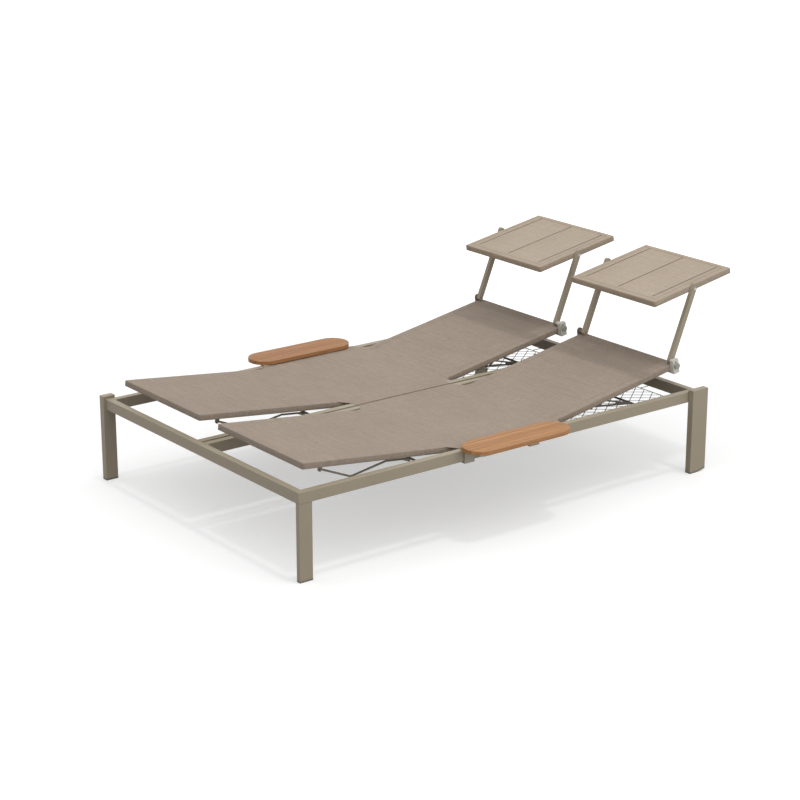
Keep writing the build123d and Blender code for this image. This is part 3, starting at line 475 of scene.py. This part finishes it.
def piece(name, vertices, faces, slot, material=None, uvs=None, depths=None, sharp=()):
    """A new smooth object from vertices and faces, with its material, which is the slot's own
    unless one is given.
    """
    mesh = bpy.data.meshes.new(name)
    mesh.from_pydata([tuple(v) for v in vertices], [], faces)
    if uvs is not None:
        layer = mesh.uv_layers.new(name="fabric")
        for loop in mesh.loops:
            layer.data[loop.index].uv = uvs[loop.vertex_index]
    if depths is not None:
        mesh.attributes.new("depth", "FLOAT", "POINT").data.foreach_set("value", depths)
    if sharp:
        for edge in mesh.edges:
            edge.use_edge_sharp = tuple(sorted(edge.vertices)) in sharp
    mesh.polygons.foreach_set("use_smooth", [True] * len(mesh.polygons))
    mesh.update()
    made = bpy.data.objects.new(name, mesh)
    bpy.context.scene.collection.objects.link(made)
    mesh.materials.append(material or MATERIALS[slot])
    return made


class Sheet:
    """Vertices, faces, fabric coordinates and dark places of a cloth being laid out."""

    def __init__(self):
        self.vertices = []
        self.uvs = []
        self.depths = []
        self.faces = []

    def point(self, place, uv, depth=0.0):
        self.vertices.append(Vector(place))
        self.uvs.append(uv)
        self.depths.append(depth)
        return len(self.vertices) - 1

    def strip(self, first, second, forward=True):
        """Faces between two rows of vertex numbers of the same length."""
        if not forward:
            first, second = second, first
        for a, b, c, d in zip(first, first[1:], second[1:], second):
            self.faces.append((a, b, c, d))

    def crosses(self):
        """Each face with its normal, as long as twice its area."""
        for face in self.faces:
            a, b, c, d = (self.vertices[i] for i in face)
            yield face, (c - a).cross(d - b)

    def area(self):
        return sum(cross.length / 2 for _, cross in self.crosses())

    def made(self, name, slot):
        """The cloth as an object, with its under side and its cut edges."""
        count = len(self.vertices)
        normals = [Vector() for _ in self.vertices]
        edges = set()
        for face, cross in self.crosses():
            edges.update(zip(face, face[1:] + face[:1]))
            for i in face:
                normals[i] += cross
        rims = [(a, b) for a, b in sorted(edges) if (b, a) not in edges]
        under = [v - n.normalized() * FABRIC for v, n in zip(self.vertices, normals)]
        faces = self.faces + [tuple(i + count for i in reversed(face)) for face in self.faces]
        faces += [(b, a, a + count, b + count) for a, b in rims]
        sharp = {tuple(sorted((a + n, b + n))) for a, b in rims for n in (0, count)}
        return piece(
            name, self.vertices + under, faces, slot, uvs=self.uvs * 2,
            depths=self.depths * 2, sharp=sharp,
        )


def spaced(start, end, step):
    """Numbers from start to end, evenly spaced and about a step apart."""
    count = max(1, round(abs(end - start) / step))
    return [start + (end - start) * i / count for i in range(count + 1)]


def near(value, low, high, fade):
    """1 between low and high, easing to 0 over the fade on each side."""
    share = min((value - low) / fade + 1, (high - value) / fade + 1)
    share = max(0.0, min(1.0, share))
    return share * share * (3 - 2 * share)


# Slings: one sheet from the middle of the seat over each section


class Section:
    """Where one section of a bed lies, and its fabric's line along the bed.

    Toward is 1 for a section on the head side of the seat and -1 for one on the foot side.
    """

    def __init__(self, bed_name, part, toward, angle, length, tubes, hem):
        self.body = f"{bed_name}_{part}_section"
        self.node = f"{bed_name}_{part}_sling"
        self.side_tubes = f"{bed_name}_{part}_side_tubes"
        low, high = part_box(self.node)
        self.center = (low.x + high.x) / 2
        self.half = (high.x - low.x) / 2
        self.toward = toward
        self.angle = angle
        self.length = length
        self.tubes = tubes
        self.hem = hem
        hinges = {name: JOINTS[f"{bed_name}_{joint}"]["pos_m"] for name, joint in HINGES.items()}
        self.hinge = Vector(hinges[part])
        self.middle = (hinges["foot"][1] + hinges["back"][1]) / 2
        seat_low, seat_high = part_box(f"{bed_name}_seat_sling")
        self.seat_top = seat_high.z
        rise = self.seat_top - self.hinge.z - PANEL_THICKNESS / 2 * cos(angle)
        self.crease_s = rise / sin(angle)
        self.crease_y = self.hinge.y + toward * (
            self.crease_s * cos(angle) - PANEL_THICKNESS / 2 * sin(angle)
        )
        self.flat = abs(self.crease_y - self.middle)
        self.reach = self.flat + length - self.crease_s
        right = BEDS[bed_name] > 0
        self.rims = (CENTER_RIM, seat_high.x) if right else (seat_low.x, -CENTER_RIM)

    def line(self, distance):
        """Y, Z and the normal of the fabric's upper face at a distance from mid-seat."""
        along = Vector((self.toward * cos(self.angle), sin(self.angle)))
        level = Vector((self.toward, 0.0))
        corner = Vector((self.crease_y, self.seat_top))
        past = distance - self.flat
        if past <= -CREASE:
            return corner + level * past, Vector((0.0, 1.0))
        if past >= CREASE:
            return corner + along * past, Vector((-self.toward * sin(self.angle), cos(self.angle)))
        q = (past + CREASE) / (2 * CREASE)
        start, end = corner - level * CREASE, corner + along * CREASE
        place = start * (1 - q) ** 2 + corner * 2 * q * (1 - q) + end * q * q
        slope = (corner - start) * (1 - q) + (end - corner) * q
        slope = slope.normalized() * self.toward
        return place, Vector((-slope.y, slope.x))

    def sag(self, across, distance):
        """How far the cloth lies below its line where no tube holds it up."""
        s = distance - self.flat + self.crease_s
        side = near(abs(across), self.half - TUBE_WIDTH, self.half, TENSION_FADE)
        held = [near(s, low, high, TENSION_FADE) for low, high in self.tubes]
        held.append(near(s, -self.reach, -HINGE_HOLD, TENSION_FADE))
        return TENSION_SAG * (1 - max([side] + held))

    def top(self, across, distance):
        place, normal = self.line(distance)
        place = place - normal * self.sag(across, distance)
        return Vector((self.center + across, place.x, place.y)), Vector((0.0, normal.x, normal.y))

    def depth(self, across, distance):
        """How dark the cloth is: painted shade over the back's end tube and its brace, and a sewn
        line along each side.
        """
        if self.toward < 0:
            return 0.0
        s = distance - self.flat + self.crease_s
        # Painted shade along the head's end tube and over the brace; the side line is a sewn seam
        edge = HEAD_STRIP_PAINTED_SHADE * near(s, self.length - HEAD_STRIP, self.length, SEAM_WIDTH)
        brace = BRACE_PAINTED_SHADE * near(s, *BRACE_BAND, TENSION_FADE)
        seam = self.half - SIDE_SEAM
        side = SIDE_SEAM_DEPTH * near(abs(across), seam, seam, FINE_CELL)
        side *= near(s, 0.0, self.length, CELL)
        return max(edge, brace, side)


def sling_sheet(section):
    """The section's cloth: top, turned-down edges with a hem, and its half of the seat."""
    sheet = Sheet()
    inner = section.half - EDGE_ROLL
    ear_end = abs(section.hinge.y - section.middle) - section.hem + EAR_REACH
    seat_rows = spaced(0.0, ear_end, CELL)
    rows = seat_rows + spaced(ear_end, section.reach - EDGE_ROLL, CELL)[1:]
    ear_row = len(seat_rows) - 1
    edge = spaced(-inner, -inner + FINE_COLUMNS * FINE_CELL, FINE_CELL)
    columns = edge + spaced(edge[-1], -edge[-1], CELL)[1:] + [-x for x in reversed(edge[:-1])]
    grid = []
    for distance in rows:
        row = []
        for across in columns:
            place, _ = section.top(across, distance)
            uv = (section.center + across, section.toward * distance)
            row.append(sheet.point(place, uv, section.depth(across, distance)))
        grid.append(row)
    for first, second in zip(grid, grid[1:]):
        sheet.strip(first, second, section.toward > 0)
    border(sheet, section, grid, rows, columns, ear_row)
    for side in (0, 1):
        joined = [row[-1] if side else row[0] for row in grid[: ear_row + 1]]
        wing(sheet, section, joined, rows, side, ear_end)
    return sheet


def edge_profile(depth, roll):
    """Out and down steps of a turned-down edge, with its hem turned under."""
    steps = []
    for i in range(1, ROLL_STEPS + 1):
        turn = pi / 2 * i / ROLL_STEPS
        steps.append((roll * sin(turn), roll * (1 - cos(turn))))
    steps.append((roll, depth / 2))
    steps.append((roll, depth - UNDER_ROLL))
    for i in range(1, HEM_STEPS + 1):
        turn = pi / 2 * i / HEM_STEPS
        steps.append((roll - UNDER_ROLL * (1 - cos(turn)), depth - UNDER_ROLL * (1 - sin(turn))))
    steps.append((roll - UNDER_ROLL - HEM_LIP, depth))
    return steps


def border(sheet, section, grid, rows, columns, ear_row):
    """The turned-down edges along both sides and the free end."""
    last = len(rows) - 1
    loop = [(r, 0) for r in range(ear_row, len(rows))]
    loop += [(last, c) for c in range(1, len(columns))]
    loop += [(r, len(columns) - 1) for r in range(last - 1, ear_row - 1, -1)]
    previous = [grid[r][c] for r, c in loop]
    for out, down in edge_profile(PANEL_THICKNESS, EDGE_ROLL):
        ring = []
        for r, c in loop:
            side = -1 if c == 0 else 1 if c == len(columns) - 1 else 0
            end = 1 if r == last else 0
            share = 1 / (side * side + end) ** 0.5
            place, normal = section.top(columns[c], rows[r])
            along = Vector((0.0, normal.z, -normal.y)) * section.toward
            moved = place - normal * down + Vector((side * share * out, 0, 0))
            moved += along * (end * share * out)
            lift = out + down
            u = section.center + columns[c] + side * lift
            # Painted shade on the turned-down edge, growing as the cloth turns down
            depth = (END_PAINTED_SHADE if end else SIDE_PAINTED_SHADE) * min(1.0, down / EDGE_ROLL)
            ring.append(sheet.point(moved, (u, section.toward * (rows[r] + end * lift)), depth))
        sheet.strip(previous, ring, section.toward > 0)
        previous = ring


def wing(sheet, section, joined, rows, side, ear_end):
    """The seat's cloth from the section's edge over one rail, down its far face."""
    sign = 1 if side else -1
    start = section.center + sign * (section.half - EDGE_ROLL)
    rim = section.rims[side]
    span = abs(rim - start) - EDGE_ROLL / 2
    hem_start = ear_end - EAR_REACH
    previous = joined
    radius = EDGE_ROLL / 2
    steps = [(span * i / WING_STEPS, 0.0) for i in range(1, WING_STEPS + 1)]
    for i in range(1, WRAP_STEPS + 1):
        turn = pi / 2 * i / WRAP_STEPS
        steps.append((span + radius * sin(turn), radius * (1 - cos(turn))))
    steps.append((span + radius, WRAP_DROP / 2))
    steps.append((span + radius, WRAP_DROP))
    for out, down in steps:
        share = min(1.0, out / span)
        hem = hem_start + EAR_REACH * (1 - share) - 4 * EAR_BULGE * share * (1 - share)
        column = []
        for k in range(len(joined)):
            distance = rows[k] * hem / ear_end
            place, _ = section.line(distance)
            lift = (place.y - section.seat_top) * (1 - share) ** WING_EASE
            moved = (start + sign * out, place.x, section.seat_top + lift - down)
            uv = (start + sign * (out + down), section.toward * distance)
            column.append(sheet.point(moved, uv))
        sheet.strip(column, previous, (section.toward > 0) == (side == 1))
        previous = column


def make_sling(section, replaced):
    sheet = sling_sheet(section)
    made = sheet.made(f"{section.node}_cloth", "sling")
    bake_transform(made)
    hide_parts(*replaced)
    sheet.area()


for bed_name in BEDS:
    foot = Section(bed_name, "foot", -1, FOOT_ANGLE, FOOT_LENGTH, FOOT_TUBES, SEAT_FOOT_HEM)
    back = Section(bed_name, "back", 1, BACK_ANGLE, BACK_LENGTH, BACK_TUBES, SEAT_HEAD_HEM)
    make_sling(foot, [foot.node, f"{bed_name}_seat_sling"])
    make_sling(back, [back.node])

# Sunshade covers


def seamed(low, high, seams):
    """Numbers from low to high about a cell apart, with close ones across each seam."""
    found, start = [], low
    for seam in seams:
        found += spaced(start, seam - 2 * SEAM_WIDTH, CELL)
        found += [seam + share * SEAM_WIDTH for share in SEAM_SHARES]
        start = seam + 2 * SEAM_WIDTH
    return found + spaced(start, high, CELL)


class Cover:
    """Where one sunshade's cover lies, with its rows, its columns and its sewn lines."""

    def __init__(self, bed_name):
        self.pivot = Vector(JOINTS[f"{bed_name}_shade_tilt"]["pos_m"])
        self.along = Vector((0, cos(SHADE_TILT), sin(SHADE_TILT)))
        self.normal = Vector((0, -sin(SHADE_TILT), cos(SHADE_TILT)))
        front, back = -SHADE_FRONT, SHADE_DEPTH - SHADE_FRONT
        side, line = SHADE_WIDTH / 2 - SHADE_ROLL, SHADE_WIDTH / 2 - SHADE_BORDER
        self.side_line = line
        self.end_lines = (front + SHADE_BORDER, back - SHADE_BORDER)
        self.seam_ends = (front + SHADE_SEAM_START, back - SHADE_SEAM_END)
        self.columns = seamed(-side, side, (-line, *SHADE_SEAMS, line))
        self.rows = seamed(front + SHADE_ROLL, back - SHADE_ROLL, self.end_lines)

    def place(self, x, y, down):
        flat = self.pivot + Vector((x, 0, 0)) + self.along * y
        return flat + self.normal * (SHADE_THICKNESS / 2 - down)

    def sewn(self, x, y, core, fade):
        """1 on the three sewn lines, less on the border's line, 0 off them."""
        lines = max(near(x, seam - core, seam + core, fade) for seam in SHADE_SEAMS)
        lines *= near(y, *self.seam_ends, SEAM_WIDTH)
        sides = near(abs(x), self.side_line - core, self.side_line + core, fade)
        sides *= near(y, *self.end_lines, SEAM_WIDTH)
        ends = max(near(y, line - core, line + core, fade) for line in self.end_lines)
        ends *= near(abs(x), 0.0, self.side_line, SEAM_WIDTH)
        return max(lines, BORDER_SHARE * max(sides, ends))

    def dark(self, x, y):
        core, fade = SEAM_CORE_SHARE * SEAM_WIDTH, SEAM_FADE_SHARE * SEAM_WIDTH
        return SEAM_DARK * self.sewn(x, y, core, fade)

    def relief(self, x, y):
        """How far the cloth lies under the cover's flat top."""
        half = SHADE_SEAMS[-1]
        open_part = near(y, *self.end_lines, TENSION_FADE) * near(abs(x), 0.0, half, CELL)
        slack = abs(sin(pi * x / half)) * open_part
        return self.sewn(x, y, 0.0, SEAM_WIDTH) * SEAM_DEPTH + slack * SHADE_SAG


def cover_top(sheet, cover):
    """The cover's top, as rows of vertex numbers."""
    grid = []
    for y in cover.rows:
        row = []
        for x in cover.columns:
            place = cover.place(x, y, cover.relief(x, y))
            row.append(sheet.point(place, (x, y), cover.dark(x, y)))
        grid.append(row)
    for first, second in zip(grid, grid[1:]):
        sheet.strip(first, second)
    return grid


def cover_edges(sheet, cover, grid):
    """The turned-down edge all round the cover, with its hem."""
    last_row, last_column = len(cover.rows) - 1, len(cover.columns) - 1
    loop = [(r, 0) for r in range(last_row, 0, -1)] + [(0, c) for c in range(last_column)]
    loop += [(r, last_column) for r in range(last_row)]
    loop += [(last_row, c) for c in range(last_column, 0, -1)]
    previous = [grid[r][c] for r, c in loop]
    for out, down in edge_profile(SHADE_THICKNESS, SHADE_ROLL):
        ring = []
        for r, c in loop:
            sx = -1 if c == 0 else 1 if c == last_column else 0
            sy = -1 if r == 0 else 1 if r == last_row else 0
            reach = out * (SHADE_CORNER_SHARE if sx and sy else 1.0)
            x, y = cover.columns[c], cover.rows[r]
            place = cover.place(x + sx * reach, y + sy * reach, down)
            uv = (x + sx * (out + down), y + sy * (out + down))
            # Painted shade on the turned-down edge, growing as the cloth turns down
            depth = (END_PAINTED_SHADE if sy else SIDE_PAINTED_SHADE) * min(1.0, down / SHADE_ROLL)
            ring.append(sheet.point(place, uv, depth))
        sheet.strip(ring + [ring[0]], previous + [previous[0]])
        previous = ring


def make_shade(bed_name):
    """The cover: a tight top with three sewn lines and a sewn border, edges turned down."""
    cover = Cover(bed_name)
    sheet = Sheet()
    grid = cover_top(sheet, cover)
    cover_edges(sheet, cover, grid)
    made = sheet.made(f"{bed_name}_shade_cloth", "shade_fabric")
    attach(made, f"{bed_name}_shade")
    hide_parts(f"{bed_name}_shade_cover")
    sheet.area()
    lines = []
    for seam in SHADE_SEAMS:
        start, end = (cover.place(seam, y, SEAM_DEPTH * STITCH_SINK_SHARE) for y in cover.seam_ends)
        lines.append((start, end, cover.normal))
    stitches(f"{bed_name}_shade_stitches", lines, f"{bed_name}_shade", "shade_fabric")


def stitches(name, lines, body, slot):
    """Rows of stitches: each a small pointed bead of thread lying along its line."""
    vertices, faces = [], []
    for start, end, normal in lines:
        run = end - start
        along = run.normalized()
        side = along.cross(normal).normalized()
        count = int(run.length / STITCH_PITCH)
        for i in range(count):
            middle = start + run * ((i + 0.5) / count)
            base = len(vertices)
            tip = along * (STITCH_LENGTH / 2)
            for around in range(STITCH_SIDES):
                turn = 2 * pi * around / STITCH_SIDES
                rim = side * cos(turn) + normal * (sin(turn) * STITCH_RISE_SHARE)
                for place in (-STITCH_BODY_SHARE, STITCH_BODY_SHARE):
                    vertices.append(middle + tip * place + rim * (STITCH_WIDTH / 2))
            first_tip, last_tip = len(vertices), len(vertices) + 1
            vertices.append(middle - tip)
            vertices.append(middle + tip)
            for around in range(STITCH_SIDES):
                a, b = base + 2 * around, base + 2 * ((around + 1) % STITCH_SIDES)
                faces.append((a, a + 1, b + 1, b))
                faces.append((first_tip, a, b))
                faces.append((last_tip, b + 1, a + 1))
    made = piece(name, vertices, faces, slot, material=THREAD)
    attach(made, body)


for bed_name in BEDS:
    make_shade(bed_name)

# Storage nets


def tube(vertices, faces, points, radius, sides=NET_CORD_SIDES):
    """A round cord through the points, closed at both ends."""
    rings = []
    for i, point in enumerate(points):
        before, after = points[max(0, i - 1)], points[min(len(points) - 1, i + 1)]
        along = (after - before).normalized()
        side = along.cross(Vector((0, 0, 1))).normalized()
        up = side.cross(along)
        ring = []
        for k in range(sides):
            turn = 2 * pi * k / sides
            ring.append(len(vertices))
            vertices.append(point + (side * cos(turn) + up * sin(turn)) * radius)
        rings.append(ring)
    for first, second in zip(rings, rings[1:]):
        for k in range(sides):
            n = (k + 1) % sides
            faces.append((first[k], first[n], second[n], second[k]))
    faces.append(tuple(reversed(rings[0])))
    faces.append(tuple(rings[-1]))


class Net:
    """Where one storage net hangs, with the meshes of its cords and of its finer threads."""

    def __init__(self, bed_name):
        self.low, self.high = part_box(f"{bed_name}_storage_net")
        inset = (self.high.x - self.low.x - NET_WIDTH) / 2
        self.x0, self.x1 = self.low.x + inset, self.high.x - inset
        self.y0 = self.low.y + NET_BORDER
        self.y1 = self.low.y + NET_LENGTH - NET_BORDER
        self.z = (self.low.z + self.high.z) / 2
        self.width, self.length = (self.x1 - self.x0) / NET_COLUMNS, (self.y1 - self.y0) / NET_ROWS
        self.cords, self.threads = ([], []), ([], [])

    def hang(self, x, y, level=0.0):
        """The net's place at x and y, lowest in its middle."""
        u, v = (x - self.x0) / (self.x1 - self.x0), (y - self.y0) / (self.y1 - self.y0)
        return Vector((x, y, self.z + level - NET_SAG * sin(pi * u) * sin(pi * v)))

    def cross(self, column, row, level=0.0):
        """The net's place at a count of cells from its first corner."""
        return self.hang(self.x0 + column * self.width, self.y0 + row * self.length, level)

    def slanted(self, mesh, slant, radius, level):
        """Parallel cords over the whole net, to the right where slant is 1, else to the left."""
        for start in range(-NET_ROWS + 1, NET_COLUMNS):
            points = []
            for i in range(2 * (NET_ROWS + NET_COLUMNS) + 1):
                row = i / 2
                column = start + row if slant > 0 else NET_COLUMNS - start - row
                if 0 <= column <= NET_COLUMNS and row <= NET_ROWS:
                    points.append(self.cross(column, row, level))
            if len(points) > 1:
                tube(*mesh, points, radius)

    def border(self):
        """The border cord all round."""
        corners = [(self.x0, self.y0), (self.x1, self.y0), (self.x1, self.y1), (self.x0, self.y1)]
        shares = [i / NET_BORDER_SPANS for i in range(NET_BORDER_SPANS + 1)]
        for (ax, ay), (bx, by) in zip(corners, corners[1:] + corners[:1]):
            points = [self.hang(ax + (bx - ax) * s, ay + (by - ay) * s) for s in shares]
            tube(*self.cords, points, NET_BORDER_CORD, NET_BORDER_SIDES)

    def knots(self):
        """A knot wherever a cord crosses a thread."""
        half = Vector((KNOT_REACH, 0, 0))
        for row in range(1, 2 * NET_ROWS):
            for column in range(1, 2 * NET_COLUMNS):
                if (row + column) % 2 == 0:
                    at = self.cross(column / 2, row / 2)
                    tube(*self.cords, [at - half, at + half], NET_CORD)

    def lashings(self):
        """Short cords that tie the net to the rails on both sides and at the head."""
        z = self.z + LASHING_RISE
        for i in range(LASHINGS):
            y = self.y0 + (self.y1 - self.y0) * (i + 0.5) / LASHINGS
            for x, reach in ((self.x0, self.low.x), (self.x1, self.high.x)):
                tube(*self.cords, [self.hang(x, y), Vector((reach, y, z))], NET_CORD)
        for i in range(LASHINGS - 1):
            x = self.x0 + (self.x1 - self.x0) * (i + 0.5) / (LASHINGS - 1)
            tube(*self.cords, [self.hang(x, self.y1), Vector((x, self.high.y, z))], NET_CORD)


def storage_net(bed_name):
    """Diamond net of cords and finer threads, knotted where they cross, in a border cord."""
    net = Net(bed_name)
    net.slanted(net.threads, 1, NET_THREAD, NET_THREAD)
    net.slanted(net.cords, -1, NET_CORD, -NET_THREAD / 2)
    net.border()
    net.knots()
    net.lashings()
    made = piece(f"{bed_name}_net_cords", *net.cords, "net_cord")
    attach(made, "base")
    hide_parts(f"{bed_name}_storage_net")
    fine = piece(f"{bed_name}_net_threads", *net.threads, "net_cord", material=NET_THREAD_FINISH)
    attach(fine, "base")


for bed_name in BEDS:
    storage_net(bed_name)

# Socket screws in the clamp blocks


def socket_screw(name, place, body):
    """A small pan head facing +X, with a socket in its middle."""
    vertices, faces = [], []
    for reach, rise in SCREW_RING_SHARES:
        for i in range(SCREW_SIDES):
            turn = 2 * pi * i / SCREW_SIDES
            rim = Vector((0, cos(turn), sin(turn))) * (reach * SCREW_RADIUS)
            vertices.append(place + rim + Vector((rise * SCREW_HEIGHT, 0, 0)))
    last = (len(SCREW_RING_SHARES) - 1) * SCREW_SIDES
    for ring in range(0, last, SCREW_SIDES):
        for i in range(SCREW_SIDES):
            a, b = ring + i, ring + (i + 1) % SCREW_SIDES
            faces.append((a, b, b + SCREW_SIDES, a + SCREW_SIDES))
    faces.append(tuple(range(last, last + SCREW_SIDES)))
    faces.append(tuple(reversed(range(SCREW_SIDES))))
    made = piece(name, vertices, faces, "steel", material=MATERIALS["dark_metal"])
    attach(made, body)


for bed_name in BEDS:
    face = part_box(f"{bed_name}_clamp_block")[1].x
    pivot = JOINTS[f"{bed_name}_arm_swing"]["pos_m"]
    place = Vector((face, pivot[1], pivot[2]))
    socket_screw(f"{bed_name}_clamp_screw", place, f"{bed_name}_back_section")

# Finish of the rigid nodes, with painted light on the foot props' paint
for subpart in frame["record"]["subparts"]:
    node = NODES[subpart["node"]]
    slot = subpart["material_slot"]
    node.data.materials.clear()
    node.data.materials.append(SPECIAL_FINISH_AND_PAINTED_LIGHT.get(subpart["node"], MATERIALS[slot]))

# Floor, light and camera


def floor():
    """A white floor that keeps the object's soft shadow."""
    mesh = bpy.data.meshes.new("floor")
    corners = [(FLOOR_HALF * x, FLOOR_HALF * y, 0) for x, y in ((-1, -1), (1, -1), (1, 1), (-1, 1))]
    mesh.from_pydata(corners, [], [(0, 1, 2, 3)])
    made = bpy.data.objects.new("floor", mesh)
    bpy.context.scene.collection.objects.link(made)
    shader = Shader("floor", 0.9)
    rays = shader.node("ShaderNodeLightPath")
    tones = [(share, share, share, 1.0) for share in (FLOOR_BOUNCE, FLOOR_SEEN)]
    shader.set(Base_Color=shader.mix(rays.outputs["Is Camera Ray"], *tones))
    seen = shader.math("MAXIMUM", rays.outputs["Is Camera Ray"], rays.outputs["Is Glossy Ray"])
    seen = shader.math("MAXIMUM", seen, rays.outputs["Is Transmission Ray"])
    away = shader.node("ShaderNodeVectorMath", {"operation": "LENGTH"})
    shader.feed(away.inputs[0], shader.place())
    lift = shader.spread(away.outputs["Value"], *FLOOR_FADE, FLOOR_GLOW, 1.0)
    strength = shader.math("MULTIPLY", seen, lift)
    glow = shader.node("ShaderNodeEmission", Color=(1, 1, 1, 1), Strength=strength)
    both = shader.node("ShaderNodeAddShader")
    shader.feed(both.inputs[0], shader.surface.outputs[0])
    shader.feed(both.inputs[1], glow.outputs[0])
    shader.feed(shader.output.inputs["Surface"], both.outputs[0])
    mesh.materials.append(shader.material)


def world():
    """White to the camera and in reflections; elsewhere a sky that is brightest overhead."""
    made = bpy.data.worlds.new("studio")
    bpy.context.scene.world = made
    made.use_nodes = True
    tree = made.node_tree
    shade = tree.nodes["Background"]
    shade.inputs["Color"].default_value = (1.0, 1.0, 1.0, 1.0)
    direction = tree.nodes.new("ShaderNodeTexCoord")
    facing = tree.nodes.new("ShaderNodeVectorMath")
    facing.operation = "DOT_PRODUCT"
    facing.inputs[1].default_value = SKY_AXIS
    tree.links.new(direction.outputs["Generated"], facing.inputs[0])
    sky = tree.nodes.new("ShaderNodeMapRange")
    sky.inputs["To Min"].default_value = SKY_LOW
    sky.inputs["To Max"].default_value = SKY_HIGH
    tree.links.new(facing.outputs["Value"], sky.inputs["Value"])
    rays = tree.nodes.new("ShaderNodeLightPath")
    seen = rays.outputs["Is Camera Ray"]
    for kind in ("Is Glossy Ray", "Is Transmission Ray"):
        either = tree.nodes.new("ShaderNodeMath")
        either.operation = "MAXIMUM"
        tree.links.new(seen, either.inputs[0])
        tree.links.new(rays.outputs[kind], either.inputs[1])
        seen = either.outputs[0]
    level = tree.nodes.new("ShaderNodeMix")
    level.inputs["B"].default_value = 1.0
    tree.links.new(seen, level.inputs["Factor"])
    tree.links.new(sky.outputs[0], level.inputs["A"])
    tree.links.new(level.outputs[0], shade.inputs["Strength"])


def lamp(name, kind, energy, place, target, **settings):
    data = bpy.data.lights.new(name, kind)
    data.energy = energy
    for key, value in settings.items():
        setattr(data, key, value)
    made = bpy.data.objects.new(name, data)
    made.location = place
    made.rotation_euler = (Vector(target) - Vector(place)).to_track_quat("-Z", "Y").to_euler()
    bpy.context.scene.collection.objects.link(made)


def camera():
    data = bpy.data.cameras.new("camera")
    data.sensor_width = SENSOR_WIDTH
    data.lens = FOCAL_PIXELS / FRAME_PIXELS * SENSOR_WIDTH
    data.clip_end = SIGHT_END
    made = bpy.data.objects.new("camera", data)
    made.location = CAMERA_PLACE
    made.rotation_euler = (CAMERA_TARGET - CAMERA_PLACE).to_track_quat("-Z", "Y").to_euler()
    bpy.context.scene.collection.objects.link(made)
    bpy.context.scene.camera = made


floor()
world()
lamp("key", "SUN", KEY_STRENGTH, KEY_PLACE, KEY_TARGET, angle=KEY_ANGLE)
lamp("side", "AREA", SIDE_POWER, SIDE_PLACE, SIDE_TARGET, shape="DISK", size=SIDE_SIZE)
camera()
bpy.context.scene.view_settings.view_transform = "Standard"
